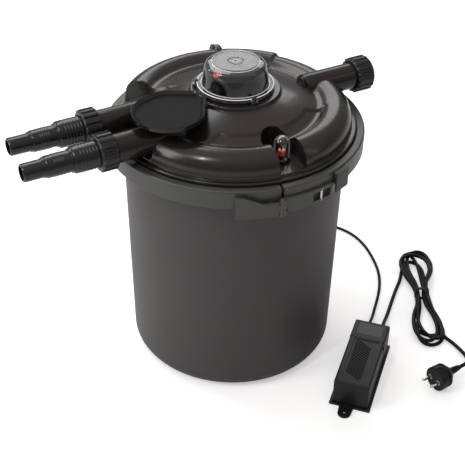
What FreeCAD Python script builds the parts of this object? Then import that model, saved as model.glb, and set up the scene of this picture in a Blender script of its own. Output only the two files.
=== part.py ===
"""Pressurised pond filter: tub, clamped lid with selector valve, ultraviolet lamp, ballast and mains lead.

Millimetres, +Z up. The origin is the centre of the tub's base, on the surface that it stands on.
The valve line, which the inlet, the outlet and the waste pipe follow, is the row's radial line at
valve_bearing; the selector stands on the side of the +local-Y pipe.
"""
import FreeCAD, Part
import math
import os
import Sketcher
from FreeCAD import Vector

doc = FreeCAD.newDocument("PondFilter")

# ---------------------------------------------------------------- driving dimensions
SIZES = [
    ("tub_top_radius", 177.5), ("tub_base_radius", 171.7), ("tub_corner", 27), ("tub_wall", 4),
    ("band_floor", 389.5), ("band_height", 29.7), ("band_radius", 205), ("band_wall", 4),
    ("band_lip", 12.5), ("band_gap_angle", 1.2), ("latch_bearing", 289.7),
    ("latch_pin_stand", 6.5), ("latch_pin_reach", "=band_radius + latch_pin_stand"),
    ("latch_pin", 2.5), ("latch_knuckle", 5), ("latch_rod", 2.1), ("latch_link_stand", 3.6),
    ("latch_link_reach", "=band_radius + latch_link_stand"), ("latch_link_pin", 1.5), ("latch_ear", 2.9),
    ("rim_thickness", 8), ("rim_clearance", 0.5), ("seal_thickness", 4), ("seal_inner", 181),
    ("seal_width", 9),
    ("lid_wall", 4), ("lid_bead_radius", 191.5), ("lid_bead_height", 8.8), ("lid_pad_radius", 70),
    ("lid_pad_top", 480), ("lid_shoulder_z", 474), ("lid_crease_radius", 105), ("lid_crease_z", 462),
    ("lid_valley_radius", 127), ("lid_valley_z", 451), ("lid_foot_radius", 182), ("lid_foot_z", 428),
    ("bulge_radius", 155), ("bulge_half", 28), ("bulge_rise", 37), ("bulge_from", 228), ("bulge_sweep", 198),
    ("rear_radius", 159), ("rear_half", 24), ("rear_rise", 41), ("rear_from", 63), ("rear_sweep", 102),
    ("window_bearing", 298.5), ("window_width", 44), ("window_reach", 127),
    ("window_floor", 428), ("window_wall", 3.5),
    ("valve_bearing", 209.5), ("valve_reach", 124), ("pipe_offset", 38), ("pipe_z", 450),
    ("pipe_radius", 22), ("pipe_bore", 18), ("inlet_overhang", 27), ("outlet_overhang", 20),
    ("inlet_end", "=band_radius + inlet_overhang"), ("outlet_end", "=band_radius + outlet_overhang"),
    ("seat_clearance", 0.2), ("neck_radius", 16), ("neck_rise", 0.5),
    ("neck_top", "=pipe_z + pipe_radius + neck_rise"), ("spindle_radius", 8), ("run_clearance", 0.05),
    ("spindle_length", 40),
    ("nut_wall", 4.5), ("nut_radius", "=pipe_radius + nut_wall"), ("nut_rib", 2.5), ("nut_length", 27), ("nut_lip", 12), ("nut_ribs", 16),
    ("nut_clearance", 0.35), ("gasket_thickness", 2), ("flange_thickness", 4),
    ("tail_one", 13.75), ("tail_two", 16.5), ("tail_three", 20.5), ("tail_one_length", 34),
    ("tail_two_length", 41), ("tail_three_length", 51), ("tail_wall", 2.6), ("barb_height", 0.2),
    ("tail_land", 9), ("tail_chamfer", 1.2), ("tail_collar", 0.9),
    ("waste_z", 447), ("waste_radius", 21.5), ("waste_bore", 17.5), ("waste_start", 84),
    ("waste_overhang", 38), ("waste_end", "=band_radius + waste_overhang"), ("cap_length", 32), ("cap_wall", 4),
    ("lever_gap", 9), ("lever_floor", "=neck_top + lever_gap"),
    ("lever_thickness", 8.5), ("lever_top", "=lever_floor + lever_thickness"), ("lever_dish", 6), ("lever_rim", 6),
    ("lever_radius", 54.5), ("lever_disc_x", -9), ("lever_disc_y", -1),
    ("lever_right", 45), ("lever_far", 61), ("lever_left", -24), ("lever_corner", 21),
    ("lamp_pocket", 30.5), ("lens_bearing", 203), ("lens_sweep", 26),
    ("collar_radius", 61), ("collar_height", 4), ("cover_flange", 59.5),
    ("cover_flange_thickness", 4), ("cover_base", 53), ("cover_shoulder", 49), ("cover_top_z", 524),
    ("cover_crown", 34), ("cover_wall", 2.4), ("lug_circle", 61), ("lug_radius", 5.5),
    ("cover_screw", 2),
    ("head_radius", 42), ("head_edge_z", 508), ("head_crown", 33), ("head_top", 517.5),
    ("head_tail", 30), ("head_tail_z", 462),
    ("sleeve_radius", 22), ("sleeve_wall", 1.6), ("sleeve_bottom", 205), ("lamp_radius", 6),
    ("lamp_spacing", 15), ("lamp_bottom", 222),
    ("gauge_reach", 146), ("gauge_radius", 11.5), ("gauge_base", 5), ("gauge_top", 468.5),
    ("gauge_wall", 1.4), ("gauge_stem", 1.5), ("float_radius", 6.5), ("float_bottom", 437),
    ("float_height", 9),
    ("riser_radius", 40), ("riser_wall", 3), ("riser_top", 392), ("grid_radius", 164),
    ("grid_z", 34), ("grid_thickness", 5), ("grid_leg", 8), ("foam_thickness", 68),
    ("foam_clearance", 0.5), ("cover_grid_thickness", 5),
    ("gland_bearing", 101), ("gland_start", 156), ("gland_end", 177), ("gland_radius", 9),
    ("gland_z", 459), ("gland_taper", 15), ("lamp_cable", 5.6), ("mains_cable", 6.6),
    ("ballast_length", 163), ("ballast_width", 60), ("ballast_height", 51), ("ballast_x", 222.5),
    ("ballast_y", -131), ("ballast_bearing", 72.2), ("ballast_cap", 46), ("ballast_round", 3.5),
    ("ballast_plate", 4), ("ballast_lip", 4.5), ("ballast_ear", 11), ("ballast_hole", 2.3),
    ("ballast_ear_reach", 18.5), ("ballast_ear_side", 4.6), ("ballast_gland_side", -1.8),
    ("ballast_gland_z", 22),
    ("ballast_gland_length", 14), ("ballast_gland_gap", 24),
    ("hank_x", 354.5), ("hank_y", 78), ("hank_lobe", 72), ("hank_half", 66),
    ("hank_height", 13), ("tie_height", 24), ("tie_width", 13),
    ("plug_x", 342.6), ("plug_y", -162.9), ("plug_z", 19.2), ("plug_bearing", 33.9),
    ("plug_radius", 18.8), ("plug_length", 30), ("plug_pin", 2.4), ("plug_pin_length", 19),
    ("plug_pin_gap", 19), ("relief_length", 25),
]

sheet = doc.addObject("Spreadsheet::Sheet", "Sizes")
for row_number, (alias, number) in enumerate(SIZES, start=1):
    sheet.set("A%d" % row_number, alias)
    sheet.set("B%d" % row_number, str(number))
    sheet.setAlias("B%d" % row_number, alias)
doc.recompute()

PARTS = []


def named(text):
    """The expression text with every sheet alias written as Sizes.alias."""
    aliases = {alias for alias, _ in SIZES}
    words, word = [], ""
    for letter in text + " ":
        if letter.isalnum() or letter in "_.":
            word += letter
            continue
        words.append("Sizes." + word if word in aliases else word)
        words.append(letter)
        word = ""
    return "".join(words).strip()


def value(size):
    """A size's number now, from a plain number or an expression on the sheet."""
    if isinstance(size, str):
        result = sheet.evalExpression(named(size))
        return float(getattr(result, "Value", result))
    return float(size)


def bind(item, prop, size):
    """Sets one property and, for an expression, keeps it bound to the sheet."""
    if isinstance(size, str):
        item.setExpression(prop, named(size))
    else:
        item.setExpression(prop, repr(float(size)))


def place(item, at=(0, 0, 0), turn=0, axis=(0, 0, 1)):
    item.Placement = FreeCAD.Placement(Vector(*[value(a) for a in at]),
                                       FreeCAD.Rotation(Vector(*axis), value(turn)))
    for letter, size in zip("xyz", at):
        if isinstance(size, str):
            bind(item, "Placement.Base." + letter, size)
    if isinstance(turn, str):
        bind(item, "Placement.Rotation.Angle", turn)
    return item


def keep(item, label):
    """Marks an object as a sub-part that is written to its own file."""
    item.Label = label
    PARTS.append(item)
    return item


# ---------------------------------------------------------------- primitives and booleans
def cylinder(name, radius, height, at=(0, 0, 0), turn=0, axis=(0, 0, 1), sweep=None):
    item = doc.addObject("Part::Cylinder", name)
    bind(item, "Radius", radius)
    bind(item, "Height", height)
    if sweep is not None:
        bind(item, "Angle", sweep)
    return place(item, at, turn, axis)


def cone(name, low, high, height, at=(0, 0, 0), turn=0, axis=(0, 0, 1)):
    item = doc.addObject("Part::Cone", name)
    bind(item, "Radius1", low)
    bind(item, "Radius2", high)
    bind(item, "Height", height)
    return place(item, at, turn, axis)


def box(name, length, width, height, at=(0, 0, 0), turn=0, axis=(0, 0, 1)):
    item = doc.addObject("Part::Box", name)
    bind(item, "Length", length)
    bind(item, "Width", width)
    bind(item, "Height", height)
    return place(item, at, turn, axis)


def ball(name, radius, at):
    item = doc.addObject("Part::Sphere", name)
    bind(item, "Radius", radius)
    return place(item, at)


def fuse(name, *items):
    item = doc.addObject("Part::MultiFuse", name)
    item.Shapes = list(items)
    return item


def common(name, *items):
    item = doc.addObject("Part::MultiCommon", name)
    item.Shapes = list(items)
    return item


def cut(name, base, *tools):
    item = doc.addObject("Part::Cut", name)
    item.Base = base
    item.Tool = tools[0] if len(tools) == 1 else fuse(name + "_tools", *tools)
    return item


def group(name, *items):
    """Several separate solids that share one node."""
    item = doc.addObject("Part::Compound", name)
    item.Links = list(items)
    return item


def arc_plate(name, inner, outer, floor, height, start, sweep):
    """A curved plate round the row's Z axis, from the bearing start through sweep degrees."""
    whole = cylinder(name + "_outer", outer, height, (0, 0, floor), start, sweep=sweep)
    core = cylinder(name + "_core", inner, height, (0, 0, floor))
    return cut(name, whole, core)


def on_bearing(radius, bearing):
    """The X and Y expressions of a point at a radius and a bearing from the Z axis."""
    return "(%s) * cos((%s) * 1deg)" % (radius, bearing), "(%s) * sin((%s) * 1deg)" % (radius, bearing)


# ---------------------------------------------------------------- sketched bodies
def plane_of(body, role):
    return next(item for item in body.Origin.OriginFeatures if item.Role == role)


def sketch(body, name, role, points):
    """A closed outline. Each point is (x, y) or (x, y, radius, side): then an arc runs to the next
    point, with its centre on the left of the way there for side 1 and on the right for side -1."""
    item = body.newObject("Sketcher::SketchObject", name)
    item.AttachmentSupport = [(plane_of(body, role), "")]
    item.MapMode = "FlatFace"
    spots = [Vector(value(p[0]), value(p[1]), 0) for p in points]
    ends = []
    for index, point in enumerate(points):
        first, last = spots[index], spots[(index + 1) % len(spots)]
        if len(point) == 2:
            item.addGeometry(Part.LineSegment(first, last), False)
            ends.append((1, 2))
            continue
        radius, side = value(point[2]), point[3]
        chord = last - first
        left = Vector(-chord.y, chord.x, 0).normalize()
        rise = math.sqrt(max(radius ** 2 - (chord.Length / 2) ** 2, 0.0))
        centre = (first + last) * 0.5 + left * (rise * side)
        angles = [math.atan2(p.y - centre.y, p.x - centre.x) for p in (first, last)]
        if side < 0:
            angles.reverse()
        item.addGeometry(Part.ArcOfCircle(Part.Circle(centre, Vector(0, 0, 1), radius), *angles), False)
        ends.append((1, 2) if side > 0 else (2, 1))
    for index, point in enumerate(points):
        after = (index + 1) % len(points)
        item.addConstraint(Sketcher.Constraint("Coincident", index, ends[index][1], after, ends[after][0]))
    for index, point in enumerate(points):
        for kind, size, number in (("DistanceX", point[0], spots[index].x),
                                   ("DistanceY", point[1], spots[index].y)):
            row = item.addConstraint(Sketcher.Constraint(kind, -1, 1, index, ends[index][0], number))
            if isinstance(size, str):
                item.setExpression("Constraints[%d]" % row, named(size))
        if len(point) > 2:
            row = item.addConstraint(Sketcher.Constraint("Radius", index, value(point[2])))
            if isinstance(point[2], str):
                item.setExpression("Constraints[%d]" % row, named(point[2]))
    return item


def turned(name, points, axis="V_Axis", role="XZ_Plane", angle=360):
    """A body of revolution from an outline in the XZ plane, about the sketch's V or H axis."""
    body = doc.addObject("PartDesign::Body", name)
    outline = sketch(body, name + "_section", role, points)
    spin = body.newObject("PartDesign::Revolution", name + "_turned")
    spin.Profile = outline
    spin.ReferenceAxis = (outline, [axis])
    if isinstance(angle, str):
        spin.Angle = value(angle)
        spin.setExpression("Angle", named(angle))
    else:
        spin.Angle = angle
    return body


def padded(name, points, height, floor, role="XY_Plane"):
    """A body raised from an outline in the XY plane, or pushed along X from one in the YZ plane."""
    body = doc.addObject("PartDesign::Body", name)
    outline = sketch(body, name + "_outline", role, points)
    pad = body.newObject("PartDesign::Pad", name + "_pad")
    pad.Profile = outline
    pad.Length = value(height)
    if isinstance(height, str):
        pad.setExpression("Length", named(height))
    place(body, (0, 0, floor) if role == "XY_Plane" else (floor, 0, 0))
    return body


def upright(name, points, bearing, reach, depth):
    """A block from an outline of (width, z) points, facing outward at a bearing, depth long."""
    body = padded(name, points, depth, 0)
    angle = math.radians(value(bearing))
    out = Vector(math.cos(angle), math.sin(angle), 0)
    spin = FreeCAD.Rotation(Vector(0, 0, 1).cross(out), Vector(0, 0, 1), out, "ZXY")
    body.Placement = FreeCAD.Placement(Vector(0, 0, 0), spin)
    for letter, size in zip("xy", on_bearing(reach, bearing)):
        bind(body, "Placement.Base." + letter, size)
    return body


def ribbed(body, radius, rise, start, length, count):
    """Adds grip ribs along a body turned about its X axis, as one pad and a polar pattern."""
    half = "0.16 * (%s)" % rise + " + 1.9"
    low, high = "(%s) - 1" % radius, "(%s) + (%s)" % (radius, rise)
    points = [("-(%s)" % half, low), (half, low), ("(%s) * 0.62" % half, high), ("-(%s) * 0.62" % half, high)]
    outline = sketch(body, body.Name + "_rib_outline", "YZ_Plane", points)
    outline.setExpression(".AttachmentOffset.Base.z", named(start))
    rib = body.newObject("PartDesign::Pad", body.Name + "_rib")
    rib.Profile = outline
    rib.Length = value(length)
    rib.setExpression("Length", named(length))
    pattern = body.newObject("PartDesign::PolarPattern", body.Name + "_ribs")
    pattern.Originals = [rib]
    pattern.Axis = (outline, ["N_Axis"])
    pattern.Angle = 360
    pattern.Occurrences = int(value(count))
    pattern.setExpression("Occurrences", named(count))
    body.Tip = pattern
    return body


def along_valve(item, side="0", z="pipe_z"):
    """Places a piece modelled along its own X axis on the valve line, side to its local Y."""
    return place(item, ("-(%s) * sin(valve_bearing * 1deg)" % side,
                        "(%s) * cos(valve_bearing * 1deg)" % side, z),
                 "valve_bearing")


SELECTOR_X = "valve_reach * cos(valve_bearing * 1deg) - pipe_offset * sin(valve_bearing * 1deg)"
SELECTOR_Y = "valve_reach * sin(valve_bearing * 1deg) + pipe_offset * cos(valve_bearing * 1deg)"
LINK_BEARING = "latch_bearing - 4.2"
RIM_Z = "band_floor + band_wall"
RIM_TOP = RIM_Z + " + rim_thickness"
LID_Z = RIM_TOP + " + seal_thickness"
BAND_TOP = "band_floor + band_height"
LIP_Z = BAND_TOP + " - band_wall"
RIM_RADIUS = "band_radius - band_wall - rim_clearance"


# ---------------------------------------------------------------- tub and clamp band
def build_tub():
    wall_top = "tub_top_radius - tub_wall"
    points = [(0, 0), ("tub_base_radius - tub_corner", 0, "tub_corner", 1),
              ("tub_base_radius", "tub_corner"), ("tub_top_radius", RIM_Z), (RIM_RADIUS, RIM_Z),
              (RIM_RADIUS, RIM_TOP), (wall_top, RIM_TOP),
              ("tub_base_radius - tub_wall", "tub_corner", "tub_corner - tub_wall", -1),
              ("tub_base_radius - tub_corner", "tub_wall"), (0, "tub_wall")]
    keep(turned("tub", points), "tub")


def build_band():
    inner = "tub_top_radius + 8"
    points = [("band_radius", "band_floor"), ("band_radius", BAND_TOP),
              ("band_radius - band_lip", BAND_TOP), ("band_radius - band_lip", LIP_Z),
              ("band_radius - band_wall", LIP_Z), ("band_radius - band_wall", RIM_Z),
              (inner, RIM_Z), (inner, "band_floor")]
    band = turned("clamp_band_ring", points)
    gap = box("clamp_band_gap", "band_radius", "band_radius * sin(band_gap_angle * 1deg)", "band_height + 2",
              (0, 0, "band_floor - 1"), "latch_bearing")
    clipped = cut("clamp_band_split", band, gap)
    catches = [arc_plate("band_catch_" + tag, "band_radius - 1", "band_radius + 4", floor, 4.8,
                         "latch_bearing - 16.9", 1.6)
               for tag, floor in (("low", "band_floor - 9.5"), ("high", "band_floor + 5.7"))]
    catches.append(arc_plate("band_catch_root", "band_radius - 3.5", "band_radius + 0.5", "band_floor - 9.5", 20,
                             "latch_bearing - 16.9", 1.6))
    keep(fuse("clamp_band", clipped, *catches), "clamp_band")


def build_bracket():
    """The fixed half of the over-centre clamp: a curved plate with two knuckles and a cross rod."""
    floor = "band_floor - 11.5"
    plate = arc_plate("bracket_plate", "band_radius + 0.2", "band_radius + 4.5", floor, 26, "latch_bearing + 1.4", 22.6)
    pivot = on_bearing("latch_pin_reach", "latch_bearing")
    knuckles = []
    for tag, low, height in (("low", floor, 5.2), ("high", floor + " + 18.8", 7.2)):
        knuckles.append(cylinder("bracket_knuckle_" + tag, "latch_knuckle", height, pivot + (low,)))
        arm = box("bracket_arm_" + tag, 6, 8, height)
        knuckles.append(place(arm, on_bearing("band_radius + 0.5", "latch_bearing + 0.2") + (low,), "latch_bearing"))
    window = arc_plate("bracket_window", "band_radius - 1", "band_radius + 9", floor + " + 6", 14,
                       "latch_bearing + 14.3", 9)
    pin_hole = cylinder("bracket_pin_hole", "latch_pin + run_clearance", 40, pivot + (floor + " - 4",))
    rod_spot = on_bearing("band_radius + 2.4", "latch_bearing + 18.8")
    rod_low = floor + " + 2"
    rod_hole = cylinder("bracket_rod_hole", "latch_rod + run_clearance", 22, rod_spot + (rod_low,))
    body = fuse("bracket_body", plate, *knuckles)
    keep(cut("latch_bracket", body, window, pin_hole, rod_hole), "latch_bracket")
    keep(cylinder("latch_cross_rod", "latch_rod", 22, rod_spot + (rod_low,)), "latch_cross_rod")
    keep(cylinder("latch_pivot_pin", "latch_pin", 28, pivot + (floor + " - 1",)), "latch_pivot_pin")


def build_lever():
    """The hand lever on the bracket's pin, with two ears for the link's pin on its inner side."""
    floor = "band_floor - 11.5"
    pivot = on_bearing("latch_pin_reach", "latch_bearing")
    link_spot = on_bearing("latch_link_reach", LINK_BEARING)
    ring = arc_plate("lever_shell", "band_radius + 5.5", "band_radius + 9", floor, 40, "latch_bearing - 19", 17.4)
    face = upright("lever_face", [(-40, floor), (40, floor), (40, BAND_TOP + " - 17.7"), (8, BAND_TOP + " - 17.7"),
                                  (-20, BAND_TOP + " - 6"), (-40, BAND_TOP + " - 6")], "latch_bearing - 10",
                   "band_radius - 12", 40)
    shell = common("lever_plate", ring, face)
    eye = cylinder("lever_eye", "latch_knuckle", 13, pivot + (floor + " + 5.5",))
    web = place(box("lever_web", 3.5, 6, 13), on_bearing("band_radius + 5.5", "latch_bearing - 1.75")
                + (floor + " + 5.5",), "latch_bearing")
    ears = [cylinder("lever_ear_" + tag, "latch_ear", 5, link_spot + (low,))
            for tag, low in (("low", "band_floor - 9"), ("high", "band_floor + 5"))]
    pocket = cylinder("lever_pocket", "latch_ear + 0.3", 9, link_spot + ("band_floor - 4",))
    eye_hole = cylinder("lever_eye_hole", "latch_pin + run_clearance", 40, pivot + (floor + " - 4",))
    link_hole = cylinder("lever_link_hole", "latch_link_pin + run_clearance", 19, link_spot + ("band_floor - 9",))
    body = fuse("lever_body", shell, eye, web, *ears)
    keep(cut("latch_lever", body, eye_hole, link_hole, pocket), "latch_lever")
    keep(cylinder("latch_link_pin", "latch_link_pin", 19, link_spot + ("band_floor - 9",)), "latch_link_pin")


def build_link():
    """The link: an eye on the lever, a bar and a T-shaped head behind the band's catches."""
    link_spot = on_bearing("latch_link_reach", LINK_BEARING)
    bar = arc_plate("link_bar", "band_radius + 1", "band_radius + 3.4", "band_floor - 3.5", 8,
                    "latch_bearing - 17.3", 13)
    head = arc_plate("link_head", "band_radius + 0.8", "band_radius + 3.4", "band_floor - 8", 18,
                     "latch_bearing - 18.3", 1.1)
    ring = cylinder("link_ring", "latch_ear - 0.2", 8, link_spot + ("band_floor - 3.5",))
    ring_hole = cylinder("link_ring_hole", "latch_link_pin + run_clearance", 12, link_spot + ("band_floor - 5",))
    keep(cut("latch_link", fuse("link_body", bar, head, ring), ring_hole), "latch_link")


def build_band_joint():
    keep(arc_plate("band_joint", "band_radius + 0.2", "band_radius + 8", "band_floor - 4.5", 32,
                   "latch_bearing + 26", 8), "band_joint")
    keep(arc_plate("latch_tongue", "band_radius + 0.2", "band_radius + 6", "band_floor - 3", 13,
                   "latch_bearing + 24.1", 1.8), "latch_tongue")


# ---------------------------------------------------------------- lid
def bulge_outline(centre, half, rise, floor):
    """The section of a raised ring: upright sides and a round top."""
    inner, outer = "%s - (%s)" % (centre, half), "%s + (%s)" % (centre, half)
    shoulder = "%s + %s - (%s)" % (floor, rise, half)
    return [(inner, floor), (outer, floor), (outer, shoulder, half, 1),
            (centre, "%s + %s" % (floor, rise), half, 1), (inner, shoulder)]


def bulge_pair(name, spare, trim):
    """The two raised rings of the lid, spare smaller all round and trim degrees short at each end."""
    floor = "lid_foot_z - 4 - %s" % trim
    main = bulge_outline("bulge_radius", "bulge_half - %s" % spare, "bulge_rise - %s + %s" % (spare, trim), floor)
    rear = bulge_outline("rear_radius", "rear_half - %s" % spare, "rear_rise - %s + %s" % (spare, trim), floor)
    main = turned(name + "_main", main, angle="bulge_sweep - 2 * %s" % trim)
    rear = turned(name + "_rear", rear, angle="rear_sweep - 2 * %s" % trim)
    return [place(main, (0, 0, 0), "bulge_from + %s" % trim), place(rear, (0, 0, 0), "rear_from + %s" % trim)]


def build_lid():
    skin = [(0, LID_Z), (RIM_RADIUS, LID_Z), (RIM_RADIUS, LIP_Z), ("lid_bead_radius", LIP_Z),
            ("lid_bead_radius", LIP_Z + " + lid_bead_height - 2", 2, 1),
            ("lid_bead_radius - 2", LIP_Z + " + lid_bead_height"),
            ("lid_foot_radius + 3", LIP_Z + " + lid_bead_height"), ("lid_foot_radius", "lid_foot_z"),
            ("lid_valley_radius", "lid_valley_z", 120, 1), ("lid_crease_radius", "lid_crease_z", 220, 1),
            ("lid_pad_radius + 1", "lid_shoulder_z"), ("lid_pad_radius", "lid_pad_top"), (0, "lid_pad_top")]
    hollow = [(0, LID_Z + " - 1"), ("lid_foot_radius - lid_wall", LID_Z + " - 1"),
              ("lid_foot_radius - lid_wall", "lid_foot_z - lid_wall"),
              ("lid_valley_radius - 1.5", "lid_valley_z - lid_wall"),
              ("lid_crease_radius - 1.5", "lid_crease_z - lid_wall"),
              ("lid_pad_radius", "lid_shoulder_z - lid_wall"),
              ("lid_pad_radius - lid_wall", "lid_pad_top - lid_wall"), (0, "lid_pad_top - lid_wall")]
    dome = turned("lid_dome", skin)
    solid = fuse("lid_solid", dome, *bulge_pair("lid_bulge", "0", "0"))
    shell = cut("lid_hollowed", solid, turned("lid_dome_room", hollow), *bulge_pair("lid_bulge_room", "lid_wall", "2"))

    def window(name, spare, floor):
        width = "window_width + 2 * %s" % spare
        slot = box(name + "_slot", "lid_foot_radius + 12 - window_reach", width, "lid_pad_top - (%s)" % floor)
        place(slot, ("window_reach * cos(window_bearing * 1deg) + (%s) / 2 * sin(window_bearing * 1deg)" % width,
                     "window_reach * sin(window_bearing * 1deg) - (%s) / 2 * cos(window_bearing * 1deg)" % width,
                     floor), "window_bearing")
        end = cylinder(name + "_end", "(%s) / 2" % width, "lid_pad_top - (%s)" % floor,
                       on_bearing("window_reach", "window_bearing") + (floor,))
        return fuse(name, slot, end)

    walls = common("lid_window_walls", window("lid_window_block", "window_wall", "window_floor - lid_wall"), solid)
    housing_room = [cylinder("lid_pipe_room_%d" % n, "pipe_radius + seat_clearance", 130)
                    for n in (0, 1)]
    for room, side in zip(housing_room, (1, -1)):
        turn_about_y(room, "valve_reach", "%d * pipe_offset" % side, "pipe_z")
    ends = [ball("lid_pipe_end_%d" % n, "pipe_radius + seat_clearance", pipe_end_spot(side))
            for n, side in enumerate((1, -1))]
    neck_room = cylinder("lid_neck_room", "neck_radius + seat_clearance", 60, (SELECTOR_X, SELECTOR_Y, "pipe_z - 30"))
    waste_room = cylinder("lid_waste_room", "waste_radius + seat_clearance", 150)
    turn_about_y(waste_room, "-(waste_start) - 150", "0", "waste_z")
    lamp_hole = cylinder("lid_lamp_hole", "lamp_pocket", 30, (0, 0, "lid_pad_top - 20"))
    gland_room = turned("lid_gland_room", gland_outline("seat_clearance"), axis="H_Axis")
    place(gland_room, (0, 0, "gland_z"), "gland_bearing")
    gauge_hole = cylinder("lid_gauge_hole", "gauge_radius - 4", 12,
                          on_bearing("gauge_reach", "window_bearing") + ("window_floor - 8",))
    lugs = [cylinder("lid_lug_%d" % n, "lug_radius + 1", "lid_pad_top - lid_shoulder_z + 6",
                     on_bearing("lug_circle", "window_bearing + %d" % (120 * n)) + ("lid_shoulder_z - 6",))
            for n in range(3)]
    screw_holes = [cylinder("lid_screw_hole_%d" % n, "cover_screw", 16,
                            on_bearing("lug_circle", "window_bearing + %d" % (120 * n)) + ("lid_pad_top - 10",))
                   for n in range(3)]
    whole = fuse("lid_whole", shell, walls, *lugs)
    keep(cut("lid_shell", whole, window("lid_window", "0", "window_floor"), *housing_room, *ends, neck_room,
             waste_room, lamp_hole, gland_room, gauge_hole, *screw_holes), "lid_shell")


def turn_about_y(item, start, side, z):
    """Lays an upright cylinder along the valve line: from start outward, side along local Y."""
    lay = FreeCAD.Rotation(Vector(0, 0, 1), value("valve_bearing")).multiply(FreeCAD.Rotation(Vector(0, 1, 0), 90))
    item.Placement = FreeCAD.Placement(Vector(0, 0, 0), lay)
    bind(item, "Placement.Base.x",
         "(%s) * cos(valve_bearing * 1deg) - (%s) * sin(valve_bearing * 1deg)" % (start, side))
    bind(item, "Placement.Base.y",
         "(%s) * sin(valve_bearing * 1deg) + (%s) * cos(valve_bearing * 1deg)" % (start, side))
    bind(item, "Placement.Base.z", z)
    return item


def pipe_end_spot(side):
    return ("valve_reach * cos(valve_bearing * 1deg) - %d * pipe_offset * sin(valve_bearing * 1deg)" % side,
            "valve_reach * sin(valve_bearing * 1deg) + %d * pipe_offset * cos(valve_bearing * 1deg)" % side, "pipe_z")


def gland_outline(spare):
    """The gland's section above its axis: rounded nose, barrel and tapered tail."""
    radius = "gland_radius + %s" % spare
    return [("gland_start - (%s)" % spare, 0, radius, -1), ("gland_start + gland_radius", radius),
            ("gland_end", radius), ("gland_end", "gland_radius - 2.5 + %s" % spare),
            ("gland_end + gland_taper", "lamp_cable / 2 + 1.2 + %s" % spare), ("gland_end + gland_taper", 0)]


def build_seals():
    ring = [("seal_inner", RIM_TOP), ("seal_inner + seal_width", RIM_TOP),
            ("seal_inner + seal_width", LID_Z), ("seal_inner", LID_Z)]
    keep(turned("lid_seal", ring), "lid_seal")


# ---------------------------------------------------------------- valve line
def build_valve():
    pipes, bores = [], []
    for n, side in enumerate((1, -1)):
        end = "inlet_end" if side > 0 else "outlet_end"
        tube = cylinder("housing_pipe_%d" % n, "pipe_radius", end + " - valve_reach")
        pipes.append(turn_about_y(tube, "valve_reach", "%d * pipe_offset" % side, "pipe_z"))
        pipes.append(ball("housing_end_%d" % n, "pipe_radius", pipe_end_spot(side)))
        bore = cylinder("housing_bore_%d" % n, "pipe_bore", end + " - valve_reach + 1")
        bores.append(turn_about_y(bore, "valve_reach", "%d * pipe_offset" % side, "pipe_z"))
        bores.append(ball("housing_pocket_%d" % n, "pipe_bore", pipe_end_spot(side)))
        drop = cylinder("housing_drop_%d" % n, "pipe_bore * 0.8", 40, pipe_end_spot(side)[:2] + ("pipe_z - 45",))
        bores.append(drop)
        collar = cylinder("housing_collar_%d" % n, "pipe_radius - 1.5", 8, pipe_end_spot(side)[:2]
                          + ("pipe_z - pipe_radius - 6",))
        pipes.append(collar)
    neck = cylinder("housing_neck", "neck_radius", "neck_top - pipe_z", (SELECTOR_X, SELECTOR_Y, "pipe_z"))
    spindle_hole = cylinder("housing_spindle_hole", "spindle_radius + run_clearance", 40,
                            (SELECTOR_X, SELECTOR_Y, "pipe_z"))
    keep(cut("valve_housing", fuse("housing_solid", *pipes, neck), *bores, spindle_hole), "valve_housing")


def build_unions():
    gaskets = []
    for name, side, pipe_end in (("inlet", "pipe_offset", "inlet_end"), ("outlet", "-pipe_offset", "outlet_end")):
        face = pipe_end + " + gasket_thickness"
        step = face + " + flange_thickness + nut_clearance"
        start = step + " + nut_lip - nut_length"
        lip = "tail_three + nut_clearance + 0.15"
        bore = "pipe_radius + nut_clearance"
        nut = turned(name + "_nut", [(start, bore), (start, "nut_radius - 1"), (start + " + 1", "nut_radius"),
                                     (start + " + nut_length - 1", "nut_radius"),
                                     (start + " + nut_length", "nut_radius - 1"), (start + " + nut_length", lip),
                                     (step, lip), (step, bore)], axis="H_Axis")
        ribbed(nut, "nut_radius", "nut_rib", start + " + 1", "nut_length - 2", "nut_ribs")
        keep(along_valve(nut, side), name + "_nut")
        keep(along_valve(hose_tail(name + "_tail", face), side), name + "_tail")
        gasket = turned(name + "_gasket", [(pipe_end, "pipe_bore"), (face, "pipe_bore"),
                                           (face, "pipe_radius"), (pipe_end, "pipe_radius")], axis="H_Axis")
        gaskets.append(along_valve(gasket, side))
    keep(group("union_gaskets", *gaskets), "union_gaskets")


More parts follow.
